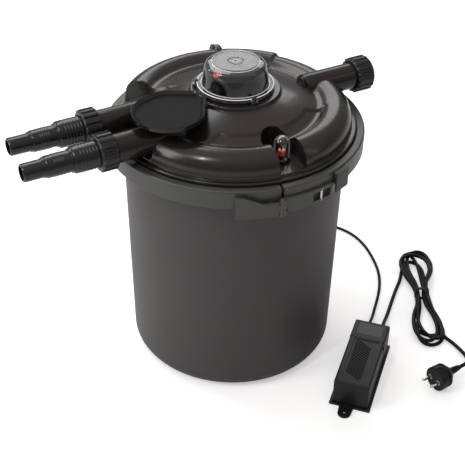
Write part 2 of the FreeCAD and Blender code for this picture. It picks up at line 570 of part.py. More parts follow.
def hose_tail(name, face):
    """A hose tail with a flange and three hose sizes. Each size has fine rings, a smooth end stretch for
    the hose's lip, a chamfer, and a low collar at the foot of the next size."""
    steps = [("tail_three", "tail_three_length", 6, "tail_two"), ("tail_two", "tail_two_length", 5, "tail_one"),
             ("tail_one", "tail_one_length", 0, None)]
    outer = [(face, "pipe_radius"), (face + " + flange_thickness", "pipe_radius")]
    start = face + " + flange_thickness"
    for radius, length, rings, smaller in steps:
        if smaller != "tail_two":
            outer += [(start, radius + " + tail_collar"), (start + " + 2.4", radius + " + tail_collar"),
                      (start + " + 2.4", radius)]
        else:
            outer.append((start, radius))
        pitch = "(%s - tail_land - nut_lip) / 6" % length
        for n in range(rings):
            at = "%s + nut_lip + %s * %.1f" % (start, pitch, n + 0.5)
            outer += [(at, radius), (at + " + 0.8", radius + " + barb_height"), (at + " + 1.6", radius)]
        start = "%s + %s" % (start, length)
        outer += [(start + " - tail_chamfer", radius), (start, radius + " - tail_chamfer")]
    far = face + " + flange_thickness + tail_three_length"
    inner = [(start, "tail_one - tail_wall"), (far + " + tail_two_length + 6", "tail_one - tail_wall"),
             (far + " + tail_two_length - 6", "tail_two - tail_wall - 2"), (far + " + 4", "tail_two - tail_wall - 2"),
             (far + " - 8", "tail_three - tail_wall"), (face + " + 8", "tail_three - tail_wall"),
             (face, "pipe_bore")]
    return turned(name, outer + inner, axis="H_Axis")


def build_waste():
    tube = [("waste_start", "waste_bore"), ("waste_end", "waste_bore"), ("waste_end", "waste_radius"),
            ("waste_start", "waste_radius")]
    line = "valve_bearing + 180"
    pipe = turned("waste_pipe", tube, axis="H_Axis")
    keep(place(pipe, (0, 0, "waste_z"), line), "waste_pipe")
    floor = "waste_end + gasket_thickness"
    start = floor + " + cap_wall - cap_length"
    cap = turned("waste_cap", [(start, "waste_radius + nut_clearance"), (start, "nut_radius"),
                               (floor + " + cap_wall - 2", "nut_radius", 2, -1),
                               (floor + " + cap_wall", "nut_radius - 2"), (floor + " + cap_wall", 0),
                               (floor, 0), (floor, "waste_radius + nut_clearance")], axis="H_Axis")
    ribbed(cap, "nut_radius", "nut_rib", start, "cap_length - 3", "nut_ribs")
    keep(place(cap, (0, 0, "waste_z"), line), "waste_cap")
    washer = turned("waste_seal", [("waste_end", "waste_bore"), (floor, "waste_bore"),
                                   (floor, "waste_radius"), ("waste_end", "waste_radius")], axis="H_Axis")
    keep(place(washer, (0, 0, "waste_z"), line), "waste_seal")


def lever_plan(name, spare, floor, height):
    """The selector's plan: a round disc whose far side runs out to a straight edge with one corner."""
    disc = cylinder(name + "_disc", "lever_radius - %s" % spare, height,
                    (SELECTOR_X + " + lever_disc_x", SELECTOR_Y + " + lever_disc_y", floor))
    right, far = "lever_right - %s" % spare, "lever_far - %s" % spare
    corner = "lever_corner - %s" % spare
    end = padded(name + "_end", [("lever_left + %s" % spare, 0), (right, 0),
                                 (right, "%s - (%s)" % (far, corner), corner, 1),
                                 ("%s - (%s)" % (right, corner), far), ("lever_left + %s" % spare, far)],
                 height, floor)
    return fuse(name, disc, place(end, (SELECTOR_X, SELECTOR_Y, floor)))


def build_selector():
    dish = lever_plan("lever_dish_solid", "0", "lever_floor", "lever_top - lever_floor")
    hollow = lever_plan("lever_dish_hollow", "lever_rim", "lever_top - lever_dish", "lever_dish + 1")
    foot = cylinder("lever_foot", "neck_radius", "lever_floor - neck_top - 0.3",
                    (SELECTOR_X, SELECTOR_Y, "neck_top + 0.3"))
    skirt = cone("lever_skirt", "neck_radius", "neck_radius + 18", 5, (SELECTOR_X, SELECTOR_Y, "lever_floor - 5"))
    socket = cylinder("lever_socket", "spindle_radius + run_clearance", 8, (SELECTOR_X, SELECTOR_Y, "neck_top + 0.3"))
    keep(cut("selector_lever", fuse("lever_solid", dish, foot, skirt), hollow, socket), "selector_lever")
    shaft = cylinder("spindle_shaft", "spindle_radius", "spindle_length",
                     (SELECTOR_X, SELECTOR_Y, "neck_top + 8.3 - spindle_length"))
    vane = box("spindle_vane", "2 * pipe_bore * 0.72", 4, 20)
    place(vane, (SELECTOR_X + " - pipe_bore * 0.72", SELECTOR_Y + " - 2", "pipe_z - 14"))
    keep(fuse("selector_spindle", shaft, vane), "selector_spindle")


# ---------------------------------------------------------------- ultraviolet lamp unit
def lug_set(name, radius, height, floor):
    """Three upright cylinders at the cover's screw positions."""
    return [cylinder("%s_%d" % (name, n), radius, height,
                     on_bearing("lug_circle", "window_bearing + %d" % (120 * n)) + (floor,)) for n in range(3)]


def build_lamp_cover():
    foot = "lid_pad_top"
    flange = foot + " + collar_height"
    top = flange + " + cover_flange_thickness"
    inside = "cover_base - cover_wall"
    ring = turned("collar_ring", [("head_radius + 1", foot), ("collar_radius", foot), ("collar_radius", flange),
                                  ("head_radius + 1", flange)])
    holes = lug_set("collar_hole", "cover_screw + run_clearance", 10, foot + " - 2")
    keep(cut("lamp_collar", fuse("collar_solid", ring, *lug_set("collar_lug", "lug_radius", "collar_height", foot)),
             *holes), "lamp_collar")
    outline = [(inside + " - 1", flange), ("cover_flange", flange), ("cover_flange", top), ("cover_base", top),
               ("cover_shoulder", "cover_top_z - 14", 15, 1), ("cover_crown", "cover_top_z"), (0, "cover_top_z"),
               (0, "cover_top_z - cover_wall"), ("cover_crown", "cover_top_z - cover_wall", "15 - cover_wall", -1),
               ("cover_shoulder - cover_wall", "cover_top_z - 14"), (inside, top)]
    lugs = lug_set("cover_lug", "lug_radius", "cover_flange_thickness", flange)
    holes = lug_set("cover_hole", "cover_screw + run_clearance", 10, flange + " - 2")
    keep(cut("lamp_cover", fuse("cover_solid", turned("cover_bowl", outline), *lugs), *holes), "lamp_cover")
    shanks = lug_set("cover_screw_shank", "cover_screw", "collar_height + cover_flange_thickness + 8", foot + " - 8")
    heads = lug_set("cover_screw_head", "cover_screw + 1.8", 2.4, top)
    keep(group("cover_screws", *[fuse("cover_screw_%d" % n, shank, head)
                                 for n, (shank, head) in enumerate(zip(shanks, heads))]), "cover_screws")


def lens_outline(spare, rise):
    """The signal lens's section: it lies on the head's sloping shoulder."""
    run, climb = "head_radius - head_crown", "head_top - 1.5 - head_edge_z"
    along = "sqrt((%s) ^ 2 + (%s) ^ 2)" % (run, climb)

    def spot(s, t):
        return ("head_radius - (%s) / %s * (%s) + (%s) / %s * (%s)" % (run, along, s, climb, along, t),
                "head_edge_z + (%s) / %s * (%s) + (%s) / %s * (%s)" % (climb, along, s, run, along, t))

    low, high = "1.5 - %s" % spare, "10.5 + %s" % spare
    deep = "-2.5 - %s" % spare
    return [spot(low, deep), spot(low, rise), spot(high, rise), spot(high, deep)]


def build_lamp():
    foot = "lid_pad_top"
    body = turned("head_turned", [(0, "head_tail_z"), ("head_tail", "head_tail_z"), ("head_tail", foot),
                                  ("head_radius", foot), ("head_radius", "head_edge_z"),
                                  ("head_crown", "head_top - 1.5"), ("head_crown - 1.5", "head_top"),
                                  (0, "head_top")])
    bore = cylinder("head_bore", "sleeve_radius + 0.3", "head_top - head_tail_z - 20", (0, 0, "head_tail_z - 1"))
    seat = place(turned("head_lens_seat", lens_outline("0.05", "4"), angle="lens_sweep + 0.2"), (0, 0, 0),
                 "lens_bearing - 0.1")
    keep(cut("lamp_head", body, bore, seat), "lamp_head")
    lens = turned("lamp_lens", lens_outline("0", "1.2"), angle="lens_sweep")
    keep(place(lens, (0, 0, 0), "lens_bearing"), "lamp_lens")
    top = "head_top - 22"
    glass = [(0, "sleeve_bottom"), ("sleeve_radius - 12", "sleeve_bottom", 12, 1),
             ("sleeve_radius", "sleeve_bottom + 12"), ("sleeve_radius", top), ("sleeve_radius - sleeve_wall", top),
             ("sleeve_radius - sleeve_wall", "sleeve_bottom + 12", "12 - sleeve_wall", -1),
             ("sleeve_radius - 12", "sleeve_bottom + sleeve_wall"), (0, "sleeve_bottom + sleeve_wall")]
    keep(turned("quartz_sleeve", glass), "quartz_sleeve")
    seal = [("sleeve_radius + run_clearance", "head_tail_z - 5"), ("head_tail - 1", "head_tail_z - 5"),
            ("head_tail - 1", "head_tail_z"), ("sleeve_radius + run_clearance", "head_tail_z")]
    keep(turned("sleeve_seal", seal), "sleeve_seal")
    cap_floor = "head_top - 39"
    tubes = [cylinder("lamp_tube_%d" % n, "lamp_radius", "%s - lamp_bottom" % cap_floor,
                      ("%d * lamp_spacing / 2" % side, 0, "lamp_bottom")) for n, side in enumerate((1, -1))]
    bridge = box("lamp_bridge", "lamp_spacing", 6, 6, ("-lamp_spacing / 2", -3, "lamp_bottom + 6"))
    keep(fuse("uv_lamp", *tubes, bridge), "uv_lamp")
    keep(cylinder("lamp_socket", "sleeve_radius - sleeve_wall - 1", 18, (0, 0, cap_floor)), "lamp_socket")


# ---------------------------------------------------------------- flow gauge in the lid's window
def build_gauge():
    spot = on_bearing("gauge_reach", "window_bearing")
    base = "window_floor + gauge_base"
    foot = cylinder("gauge_foot", "gauge_radius + 1.5", "gauge_base", spot + ("window_floor",))
    tail = cylinder("gauge_tail", "gauge_radius - 4.3", 8, spot + ("window_floor - 8",))
    stem = cylinder("gauge_stem", "gauge_stem", "gauge_top - gauge_wall - 6 - (%s)" % base, spot + (base,))
    keep(fuse("gauge_socket", foot, tail, stem), "gauge_socket")
    dome = [("gauge_radius", base), ("gauge_radius", "gauge_top - gauge_radius", "gauge_radius", 1),
            (0, "gauge_top"), (0, "gauge_top - gauge_wall", "gauge_radius - gauge_wall", -1),
            ("gauge_radius - gauge_wall", "gauge_top - gauge_radius"), ("gauge_radius - gauge_wall", base)]
    keep(place(turned("gauge_dome", dome), spot + (0,)), "gauge_dome")
    ring = cylinder("gauge_float_ring", "float_radius", "float_height", spot + ("float_bottom",))
    hole = cylinder("gauge_float_hole", "gauge_stem + run_clearance + 0.03", "float_height + 2",
                    spot + ("float_bottom - 1",))
    keep(cut("gauge_float", ring, hole), "gauge_float")


# ---------------------------------------------------------------- inside the tub
def build_inside():
    tube = [("riser_radius - riser_wall", "tub_wall"), ("riser_radius", "tub_wall"),
            ("riser_radius", "riser_top"), ("riser_radius - riser_wall", "riser_top")]
    slots = [place(box("riser_slot_%d" % n, 12, 10, 20), on_bearing("riser_radius - 6", "%d" % (60 * n)) + (8,),
                   "%d" % (60 * n)) for n in range(6)]
    keep(cut("riser_tube", turned("riser_wall_tube", tube), *slots), "riser_tube")
    bore = "riser_radius + foam_clearance"

    def disc(name, floor, thickness):
        return turned(name, [(bore, floor), ("grid_radius", floor), ("grid_radius", "%s + %s" % (floor, thickness)),
                             (bore, "%s + %s" % (floor, thickness))])

    plate = disc("lower_grid_plate", "grid_z", "grid_thickness")
    legs = [cylinder("lower_grid_leg_%d" % n, "grid_leg", "grid_z - tub_wall",
                     on_bearing("grid_radius - 48", "%d" % (60 * n + 30)) + ("tub_wall",)) for n in range(6)]
    holes = [cylinder("lower_grid_hole_%d" % n, 7, 20, on_bearing(reach, "%d" % turn) + ("grid_z - 5",))
             for n, (reach, turn) in enumerate([("grid_radius * 0.45", 30 * k) for k in range(12)]
                                               + [("grid_radius * 0.84", 15 * k + 7) for k in range(24)])]
    keep(cut("lower_grid", fuse("lower_grid_solid", plate, *legs), *holes), "lower_grid")
    floor = "grid_z + grid_thickness"
    for n, name in enumerate(("coarse_foam_low", "coarse_foam_high", "fine_foam_low", "fine_foam_high")):
        keep(disc(name, "%s + %d * foam_thickness" % (floor, n), "foam_thickness"), name)
    top = "%s + 4 * foam_thickness" % floor
    keep(disc("upper_grid", top, "cover_grid_thickness"), "upper_grid")


# ---------------------------------------------------------------- ballast
def on_ballast(item, label):
    """Keeps a piece modelled round the ballast's own centre, its length along local X."""
    return keep(place(item, ("ballast_x", "ballast_y", 0), "ballast_bearing"), label)


def rounded_section(spare, floor, top):
    side = "ballast_width / 2 + %s" % spare
    return [("-(%s)" % side, floor), (side, floor), (side, "%s - ballast_round" % top, "ballast_round", 1),
            ("%s - ballast_round" % side, top), ("-(%s) + ballast_round" % side, top, "ballast_round", 1),
            ("-(%s)" % side, "%s - ballast_round" % top)]


def build_ballast():
    near, far = "-ballast_length / 2", "ballast_length / 2"
    joint = far + " - ballast_cap"
    long_part = padded("ballast_long_part", rounded_section("0", "ballast_plate", "ballast_height"),
                       "ballast_length - ballast_cap", near, "YZ_Plane")
    room = box("ballast_room", "ballast_length - ballast_cap - 3", "ballast_width - 6",
               "ballast_height - ballast_plate - 4", (near + " + 3", "-ballast_width / 2 + 3", "ballast_plate"))
    panel = box("ballast_panel", "ballast_length - ballast_cap - 14", "ballast_width - 14", 3,
                (near + " + 7", "-ballast_width / 2 + 7", "ballast_height - 1"))
    on_ballast(cut("ballast_housing", long_part, room, panel), "ballast_housing")
    cap = padded("ballast_cap_solid", rounded_section("0.6", "ballast_plate", "ballast_height + 0.6"),
                 "ballast_cap", joint, "YZ_Plane")
    cap_room = box("ballast_cap_room", "ballast_cap - 3", "ballast_width - 6", "ballast_height - ballast_plate - 4",
                   (joint, "-ballast_width / 2 + 3", "ballast_plate"))
    on_ballast(cut("ballast_end_cover", cap, cap_room), "ballast_end_cover")
    plate = box("ballast_foot", "ballast_length + 2 * ballast_lip", "ballast_width + 2 * ballast_lip", "ballast_plate",
                (near + " - ballast_lip", "-ballast_width / 2 - ballast_lip", 0))
    ears, holes = [], []
    for n, (sign, across) in enumerate(((-1, "ballast_ear_side"), (1, "ballast_gland_side"))):
        x = "%d * (ballast_length / 2 + ballast_ear_reach)" % sign
        root = "%d * ballast_length / 2 - (1 - %d) / 2 * (ballast_ear_reach)" % (sign, sign)
        ears.append(cylinder("ballast_ear_%d" % n, "ballast_ear", "ballast_plate", (x, across, 0)))
        ears.append(box("ballast_ear_neck_%d" % n, "ballast_ear_reach", "2 * ballast_ear", "ballast_plate",
                        (root, across + " - ballast_ear", 0)))
        holes.append(cylinder("ballast_ear_hole_%d" % n, "ballast_hole", "ballast_plate + 2",
                              (x, across, -1)))
    on_ballast(cut("ballast_plate", fuse("ballast_plate_solid", plate, *ears), *holes), "ballast_plate")
    core = box("ballast_core_block", "ballast_length - ballast_cap - 12", "ballast_width - 12", 34,
               (near + " + 8", "-ballast_width / 2 + 6", "ballast_plate"))
    on_ballast(group("ballast_core", core), "ballast_core")
    for name, cable, side in (("lamp_gland", "lamp_cable", 1), ("mains_gland", "mains_cable", -1)):
        nut = [(far, 0), (far, 7.5), (far + " + 4", 7.5), (far + " + 4", "%s / 2 + 2.4" % cable),
               (far + " + ballast_gland_length", "%s / 2 + 1" % cable), (far + " + ballast_gland_length", 0)]
        gland = turned(name, nut, axis="H_Axis")
        spot = GLAND_SPOTS[side]
        keep(place(gland, spot, "ballast_bearing"), name)


GLAND_SPOTS = {side: ("ballast_x - (%s) * sin(ballast_bearing * 1deg)" % across,
                      "ballast_y + (%s) * cos(ballast_bearing * 1deg)" % across, "ballast_gland_z")
               for side, across in ((1, "ballast_gland_gap / 2 + ballast_gland_side"), (-1, "-ballast_gland_gap / 2 + ballast_gland_side"))}


def gland_tip(side):
    """Where a cable leaves the ballast's gland."""
    reach = value("ballast_length / 2 + ballast_gland_length")
    angle = math.radians(value("ballast_bearing"))
    spot = Vector(*[value(size) for size in GLAND_SPOTS[side]])
    return spot + Vector(math.cos(angle), math.sin(angle), 0) * reach


# ---------------------------------------------------------------- plug
def build_plug():
    spot = ("plug_x", "plug_y", "plug_z")
    body = turned("plug_turned", [(0, 0), (0, "plug_radius - 1"), (1, "plug_radius"), (13, "plug_radius"),
                                  (19, "plug_radius - 4"), ("plug_length", "plug_radius - 7"), ("plug_length", 0)],
                  axis="H_Axis")
    keep(place(body, spot, "plug_bearing"), "plug_body")
    pins = [place(cylinder("plug_pin_%d" % n, "plug_pin", "plug_pin_length"),
                  (0, "%d * plug_pin_gap / 2" % side, 0), -90, (0, 1, 0)) for n, side in enumerate((1, -1))]
    keep(place(group("plug_pins", *pins), spot, "plug_bearing"), "plug_pins")
    end = "plug_length + relief_length"
    relief = [("plug_length", 0), ("plug_length", 7.5), (end, "mains_cable / 2 + 1"), (end, 0)]
    keep(place(turned("plug_relief", relief, axis="H_Axis"), spot, "plug_bearing"), "plug_relief")


def relief_tip():
    angle = math.radians(value("plug_bearing"))
    reach = value("plug_length + relief_length")
    face = Vector(value("plug_x"), value("plug_y"), value("plug_z"))
    return face + Vector(math.cos(angle), math.sin(angle), 0) * reach


# ---------------------------------------------------------------- cords
def cord(name, radius, points, least):
    """A round cord through the points: straight runs joined by tangent arcs. Prints its radii."""
    size = value(radius)
    spots = [Vector(*p) for p in points]
    runs = [(b - a).Length for a, b in zip(spots, spots[1:])]
    edges, radii, start = [], [], spots[0]
    for k in range(1, len(spots) - 1):
        back, ahead = (spots[k] - spots[k - 1]).normalize(), (spots[k + 1] - spots[k]).normalize()
        half_turn = back.getAngle(ahead) / 2
        setback = 0.45 * min(runs[k - 1], runs[k])
        radii.append(setback / math.tan(half_turn))
        enter, leave = spots[k] - back * setback, spots[k] + ahead * setback
        rise = radii[-1] * (1 / math.cos(half_turn) - 1)
        middle = spots[k] + (ahead - back).normalize() * rise
        edges += [Part.LineSegment(start, enter).toShape(), Part.Arc(enter, middle, leave).toShape()]
        start = leave
    edges.append(Part.LineSegment(start, spots[-1]).toShape())
    path = Part.Wire(edges)
    ring = Part.Wire([Part.Circle(spots[0], (spots[1] - spots[0]).normalize(), size).toShape()])
    solid = path.makePipeShell([ring], True, False)
    length = sum(edge.Length for edge in edges)
    share = solid.Volume / (math.pi * size ** 2 * length)
    print("%s: length %.0f, radii %s, volume share %.4f"
          % (name, length, " ".join("%.0f" % r for r in radii), share))
    assert abs(share - 1) < 0.01 and min(radii) > least * size, name
    item = doc.addObject("Part::Feature", name)
    item.Shape = solid
    item.Placement = FreeCAD.Placement()
    return keep(item, name)


def lid_gland_tip():
    angle = math.radians(value("gland_bearing"))
    reach = value("gland_end + gland_taper")
    return Vector(math.cos(angle) * reach, math.sin(angle) * reach, value("gland_z"))


def build_cables():
    start, end = lid_gland_tip(), gland_tip(1)
    out = Vector(start.x, start.y, 0).normalize()
    ballast_line = math.radians(value("ballast_bearing"))
    into = Vector(math.cos(ballast_line), math.sin(ballast_line), 0)
    floor = value("lamp_cable / 2") + 0.1
    fall = [start + out * 16, (-43, 222, 448), (-45, 233, 424), (-40, 238, 384), (-30, 243, 335), (-17, 249, 284),
            (0, 256, 232), (20, 264, 182), (44, 275, 132), (72, 287, 86), (104, 299, 46), (140, 307, 18)]
    lay = [(178, 309, floor), (214, 299, floor), (244, 274, floor), (264, 238, floor), (276, 196, floor),
           (283, 154, floor), (281, 112, floor), (273, 74, floor), (264, 42, floor + 1), (257, 14, 8)]
    cord("lamp_cable", "lamp_cable / 2", [start] + fall + lay + [end + into * 20, end], 5)
    start, end = gland_tip(-1), relief_tip()
    floor = value("mains_cable / 2") + 0.1
    lead = [start, start + into * 18, (276, -4, 12), (284, 20, floor + 0.6), (293, 48, floor), (303, 76, floor),
            (315, 102, floor), (330, 124, floor + 1)]
    cord("mains_lead", "mains_cable / 2", lead, 5)
    plug_line = math.radians(value("plug_bearing"))
    back = Vector(math.cos(plug_line), math.sin(plug_line), 0)
    tail = [(379, -33, floor + 1), (391.5, -48.5, floor + 1), (401.5, -65.5, 5), (408.2, -84, 8),
            (409.6, -101, 12), (406.4, -114, 16), end + back * 14, end]
    cord("mains_tail", "mains_cable / 2", tail, 5)


def build_hank():
    """The coiled lead as one closed outline: two loops and the waist under the tie."""
    half = "hank_half + 70"
    wide = "hank_lobe / 2"
    points = []
    for sign in (1, -1):
        x, y = "%d * (%s)" % (sign, wide), "%d * (%s - %s)" % (sign, half, wide)
        points += [("%d * 12" % sign, "%d * 8" % sign), ("%d * (%s - 2)" % (sign, wide), "%d * 56" % sign),
                   (x, y, wide, 1), ("0", "%d * (%s)" % (sign, half), wide, 1),
                   ("%d * -(%s)" % (sign, wide), y), ("%d * -(%s - 2)" % (sign, wide), "%d * 56" % sign),
                   ("%d * -12" % sign, "%d * 8" % sign)]
    outline = padded("hank_outline", points, "hank_height", 0)
    waist = box("hank_waist", 24, "tie_width + 12", "tie_height - 5", (-12, "-tie_width / 2 - 6", 2.3))
    strap = box("tie_outer", 30, "tie_width", "tie_height", (-15, "-tie_width / 2", 0))
    hollow = box("tie_inner", 25, "tie_width + 2", "tie_height - 4.4", (-12.5, "-tie_width / 2 - 1", 2))
    room = box("hank_tie_room", 60, "tie_width + 1", 40, (-30, "-tie_width / 2 - 0.5", -1))
    solid = fuse("hank_solid", cut("hank_lobes", outline, room), waist)
    spot = ("hank_x", "hank_y", 0)
    keep(place(solid, spot), "mains_hank")
    keep(place(cut("hank_tie", strap, hollow), spot), "hank_tie")


def build_cable_gland():
    keep(place(turned("cable_gland", gland_outline("0"), axis="H_Axis"), (0, 0, "gland_z"), "gland_bearing"),
         "cable_gland")


# ---------------------------------------------------------------- build, check and write
def check(item):
    shape = item.Shape
    if shape.isNull() or not shape.isValid():
        raise RuntimeError("bad shape: " + item.Label)


def main():
    for step in (build_tub, build_band, build_bracket, build_lever, build_link, build_band_joint, build_lid,
                 build_seals, build_valve, build_unions, build_waste, build_selector, build_lamp_cover, build_lamp,
                 build_gauge, build_inside, build_cable_gland, build_ballast, build_plug, build_cables, build_hank):
        step()
        doc.recompute()
        print(step.__name__)
    broken = [item.Name for item in doc.Objects if {"Invalid", "Error"} & set(item.State)]
    if broken:
        raise RuntimeError("not computed: " + ", ".join(broken))
    os.makedirs("parts", exist_ok=True)
    for item in PARTS:
        check(item)
        item.Shape.exportStep("parts/%s.step" % item.Label)
    print(len(PARTS), "sub-parts")


main()
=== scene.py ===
import math

import bmesh
import bpy
from bpy.props import FloatProperty, FloatVectorProperty, IntProperty, PointerProperty
from mathutils import Matrix, Vector


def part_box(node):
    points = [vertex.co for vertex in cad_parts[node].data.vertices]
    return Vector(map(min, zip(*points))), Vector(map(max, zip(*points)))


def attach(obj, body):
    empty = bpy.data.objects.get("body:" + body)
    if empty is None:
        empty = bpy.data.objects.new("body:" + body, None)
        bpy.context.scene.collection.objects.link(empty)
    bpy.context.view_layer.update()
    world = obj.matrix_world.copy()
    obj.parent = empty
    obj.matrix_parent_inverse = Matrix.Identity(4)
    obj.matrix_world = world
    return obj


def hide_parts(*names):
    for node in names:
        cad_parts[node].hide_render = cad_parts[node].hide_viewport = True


bl_info = {
    "name": "Pressurised pond filter",
    "version": (1, 0, 0),
    "blender": (4, 5, 0),
    "location": "View3D > Sidebar > Pond filter",
    "description": "Casing, fittings, lamp, ballast and cords of a pressurised pond filter",
    "category": "Object",
}

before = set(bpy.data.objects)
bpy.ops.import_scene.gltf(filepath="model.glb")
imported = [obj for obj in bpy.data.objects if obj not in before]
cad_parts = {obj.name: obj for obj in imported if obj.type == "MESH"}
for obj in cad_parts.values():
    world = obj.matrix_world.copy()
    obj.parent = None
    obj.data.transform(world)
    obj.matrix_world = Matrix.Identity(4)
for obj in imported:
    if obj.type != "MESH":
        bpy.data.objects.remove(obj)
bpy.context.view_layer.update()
MM = 0.001
FULL_TURN = 2 * math.pi


# ---------------------------------------------------------------- places taken from the frame
def middle(node):
    """The middle of a node's box at rest."""
    low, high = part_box(node)
    return (low + high) / 2


def far_corner(node):
    """The highest corner of a node's box at rest."""
    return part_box(node)[1]


BAND_LOW, BAND_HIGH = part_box("band_joint")[0].z + 4.5 * MM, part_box("clamp_band")[1].z
RIM_HIGH = BAND_HIGH - 4 * MM
LAMP_TOP = far_corner("lamp_cover").z
PAD_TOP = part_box("lamp_collar")[0].z
HEAD_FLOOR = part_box("lamp_head")[0].z
NECK_TOP = far_corner("valve_housing").z
LEVER_TOP = far_corner("selector_lever").z
GAUGE = middle("gauge_dome")
GAUGE_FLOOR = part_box("gauge_dome")[0].z - 5 * MM
FLOAT_ROD = 1.5 * MM
NECK_RADIUS = 16 * MM


# ---------------------------------------------------------------- settings
def length(name, description, default):
    """A setting in metres."""
    return FloatProperty(name=name, description=description, default=default, unit="LENGTH", precision=5)


def angle(name, description, default):
    """A setting for an angle, given in degrees."""
    return FloatProperty(name=name, description=description, default=math.radians(default), subtype="ANGLE")


def colour(name, description, default):
    """A setting for a colour, in linear light."""
    return FloatVectorProperty(name=name, description=description, default=default, subtype="COLOR",
                               size=3, min=0, max=1)


class PondStageSettings(bpy.types.PropertyGroup):
    camera_height: length("Camera height", "Height of the camera over the floor", 1.25098)
    camera_distance: length("Camera distance", "How far in front of the filter's axis the camera stands", 1.4533)
    camera_tilt: angle("Camera tilt", "How far the camera looks down", 35.848)
    camera_roll: angle("Camera roll", "How far the camera is turned about its own line of sight", 0.9531)
    camera_turn: angle("Camera turn", "How far the camera is turned to the left", 0.023)
    lens: FloatProperty(name="Lens", description="Focal length on a 36 mm sensor", default=81.49)
    floor_colour: colour("Floor", "Colour of the pale studio floor", (0.93, 0.93, 0.93))
    overhead_power: FloatProperty(name="Overhead", description="Power of the strip over the lid", default=17.0)
    side_power: FloatProperty(name="Sides", description="Power of each side panel", default=9.0)
    glint_power: FloatProperty(name="Glints", description="Power of each lamp that gives glints", default=5.0)


class PondCasingSettings(bpy.types.PropertyGroup):
    tub_top: length("Tub mouth", "Radius of the tub under the clamp band", 0.1775)
    tub_base: length("Tub base", "Radius of the tub over its rounded bottom edge", 0.1717)
    tub_corner: length("Bottom edge", "Radius of the tub's rounded bottom edge", 0.027)
    tub_wall: length("Tub wall", "Wall thickness of the tub", 0.004)
    band_radius: length("Band radius", "Outer radius of the clamp band", 0.205)
    band_wall: length("Band wall", "Wall thickness of the clamp band", 0.004)
    band_lip: length("Band lip", "How far the band's upper lip reaches inward", 0.0125)
    latch_bearing: angle("Latch bearing", "Bearing of the clamp's pivot", 289.7)


class PondLidSettings(bpy.types.PropertyGroup):
    pad: length("Pad", "Radius of the flat pad under the lamp", 0.070)
    valley: length("Valley", "Radius of the valley between dome and main ring", 0.1335)
    foot: length("Foot", "Radius at the foot of the raised rings", 0.183)
    ring_radius: length("Main ring", "Radius of the main ring's crest", 0.155)
    ring_half: length("Main half width", "Half the width of the main ring", 0.028)
    ring_rise: length("Main rise", "Height of the main ring over the rim", 0.037)
    rear_radius: length("Rear ring", "Radius of the rear ring's crest", 0.159)
    rear_half: length("Rear half width", "Half the width of the rear ring", 0.024)
    rear_rise: length("Rear rise", "Height of the rear ring over the rim", 0.0405)
    main_from: angle("Main ring from", "Bearing where the main ring starts", 228)
    rear_from: angle("Rear ring from", "Bearing where the rear ring starts", 66)
    rear_to: angle("Rear ring to", "Bearing where the rear ring ends", 165)
    step_depth: length("Step depth", "Depth of the lowered band round the dome's front", 0.0030)
    niche_bearing: angle("Niche bearing", "Bearing of the gauge's niche", 298.5)
    niche_width: length("Niche width", "Width of the gauge's niche", 0.044)
    niche_reach: length("Niche reach", "Radius where the niche's round end is centred", 0.127)


class PondFittingSettings(bpy.types.PropertyGroup):
    line: angle("Valve line", "Bearing of the valve's pipes", 209.5)
    reach: length("Valve reach", "Distance of the pipes' inner ends from the axis", 0.124)
    offset: length("Pipe offset", "Half the distance between the two pipes", 0.038)
    height: length("Pipe height", "Height of the pipes' centre lines", 0.450)
    pipe: length("Pipe radius", "Outer radius of the pipes", 0.022)
    inlet_end: length("Front pipe end", "Distance of the front pipe's end along the line", 0.232)
    outlet_end: length("Rear pipe end", "Distance of the rear pipe's end along the line", 0.225)
    nut: length("Nut radius", "Radius of a union nut under its ribs", 0.0265)
    rib: length("Rib height", "Height of a nut's ribs", 0.0025)
    ribs: IntProperty(name="Ribs", description="How many ribs a nut has", default=16)
    waste_height: length("Waste height", "Height of the waste pipe's centre line", 0.447)
    waste_end: length("Waste end", "Distance of the waste pipe's end from the axis", 0.243)


class PondLampSettings(bpy.types.PropertyGroup):
    flange: length("Flange", "Radius of the clear cover's flange", 0.0595)
    bowl: length("Bowl", "Radius of the clear cover over its flange", 0.053)
    shoulder: length("Shoulder", "Radius of the clear cover at its shoulder", 0.049)
    crown: length("Crown", "Radius of the clear cover's flat top", 0.034)
    wall: length("Wall", "Wall thickness of the clear cover", 0.0024)
    head: length("Head", "Radius of the black lamp head", 0.042)


class PondBallastSettings(bpy.types.PropertyGroup):
    long: length("Length", "Length of the ballast's housing", 0.163)
    wide: length("Width", "Width of the ballast's housing", 0.060)
    high: length("Height", "Height of the ballast over the floor", 0.051)
    cap: length("End cover", "Length of the end cover that the cables enter", 0.046)
    plate: length("Plate", "Thickness of the foot plate", 0.004)
    place_x: length("Place along X", "Middle of the housing along X", 0.2225)
    place_y: length("Place along Y", "Middle of the housing along Y", -0.131)
    bearing: angle("Bearing", "Bearing of the housing's long axis", 72.2)
    ribs: IntProperty(name="Ribs", description="How many slanted ribs the top panel has", default=16)


class PondCordSettings(bpy.types.PropertyGroup):
    lamp_cable: length("Lamp cable", "Diameter of the cable from ballast to lamp", 0.0056)
    mains_cable: length("Mains cable", "Diameter of the mains lead", 0.0066)
    hank_x: length("Hank along X", "Middle of the tied hank along X", 0.3545)
    hank_y: length("Hank along Y", "Middle of the tied hank along Y", 0.078)
    hank_half: length("Hank half length", "Half the length of the hank's longest turn", 0.138)
    plug_radius: length("Plug radius", "Radius of the plug's face", 0.0188)
    plug_bearing: angle("Plug bearing", "Bearing of the cable behind the plug", 33.9)


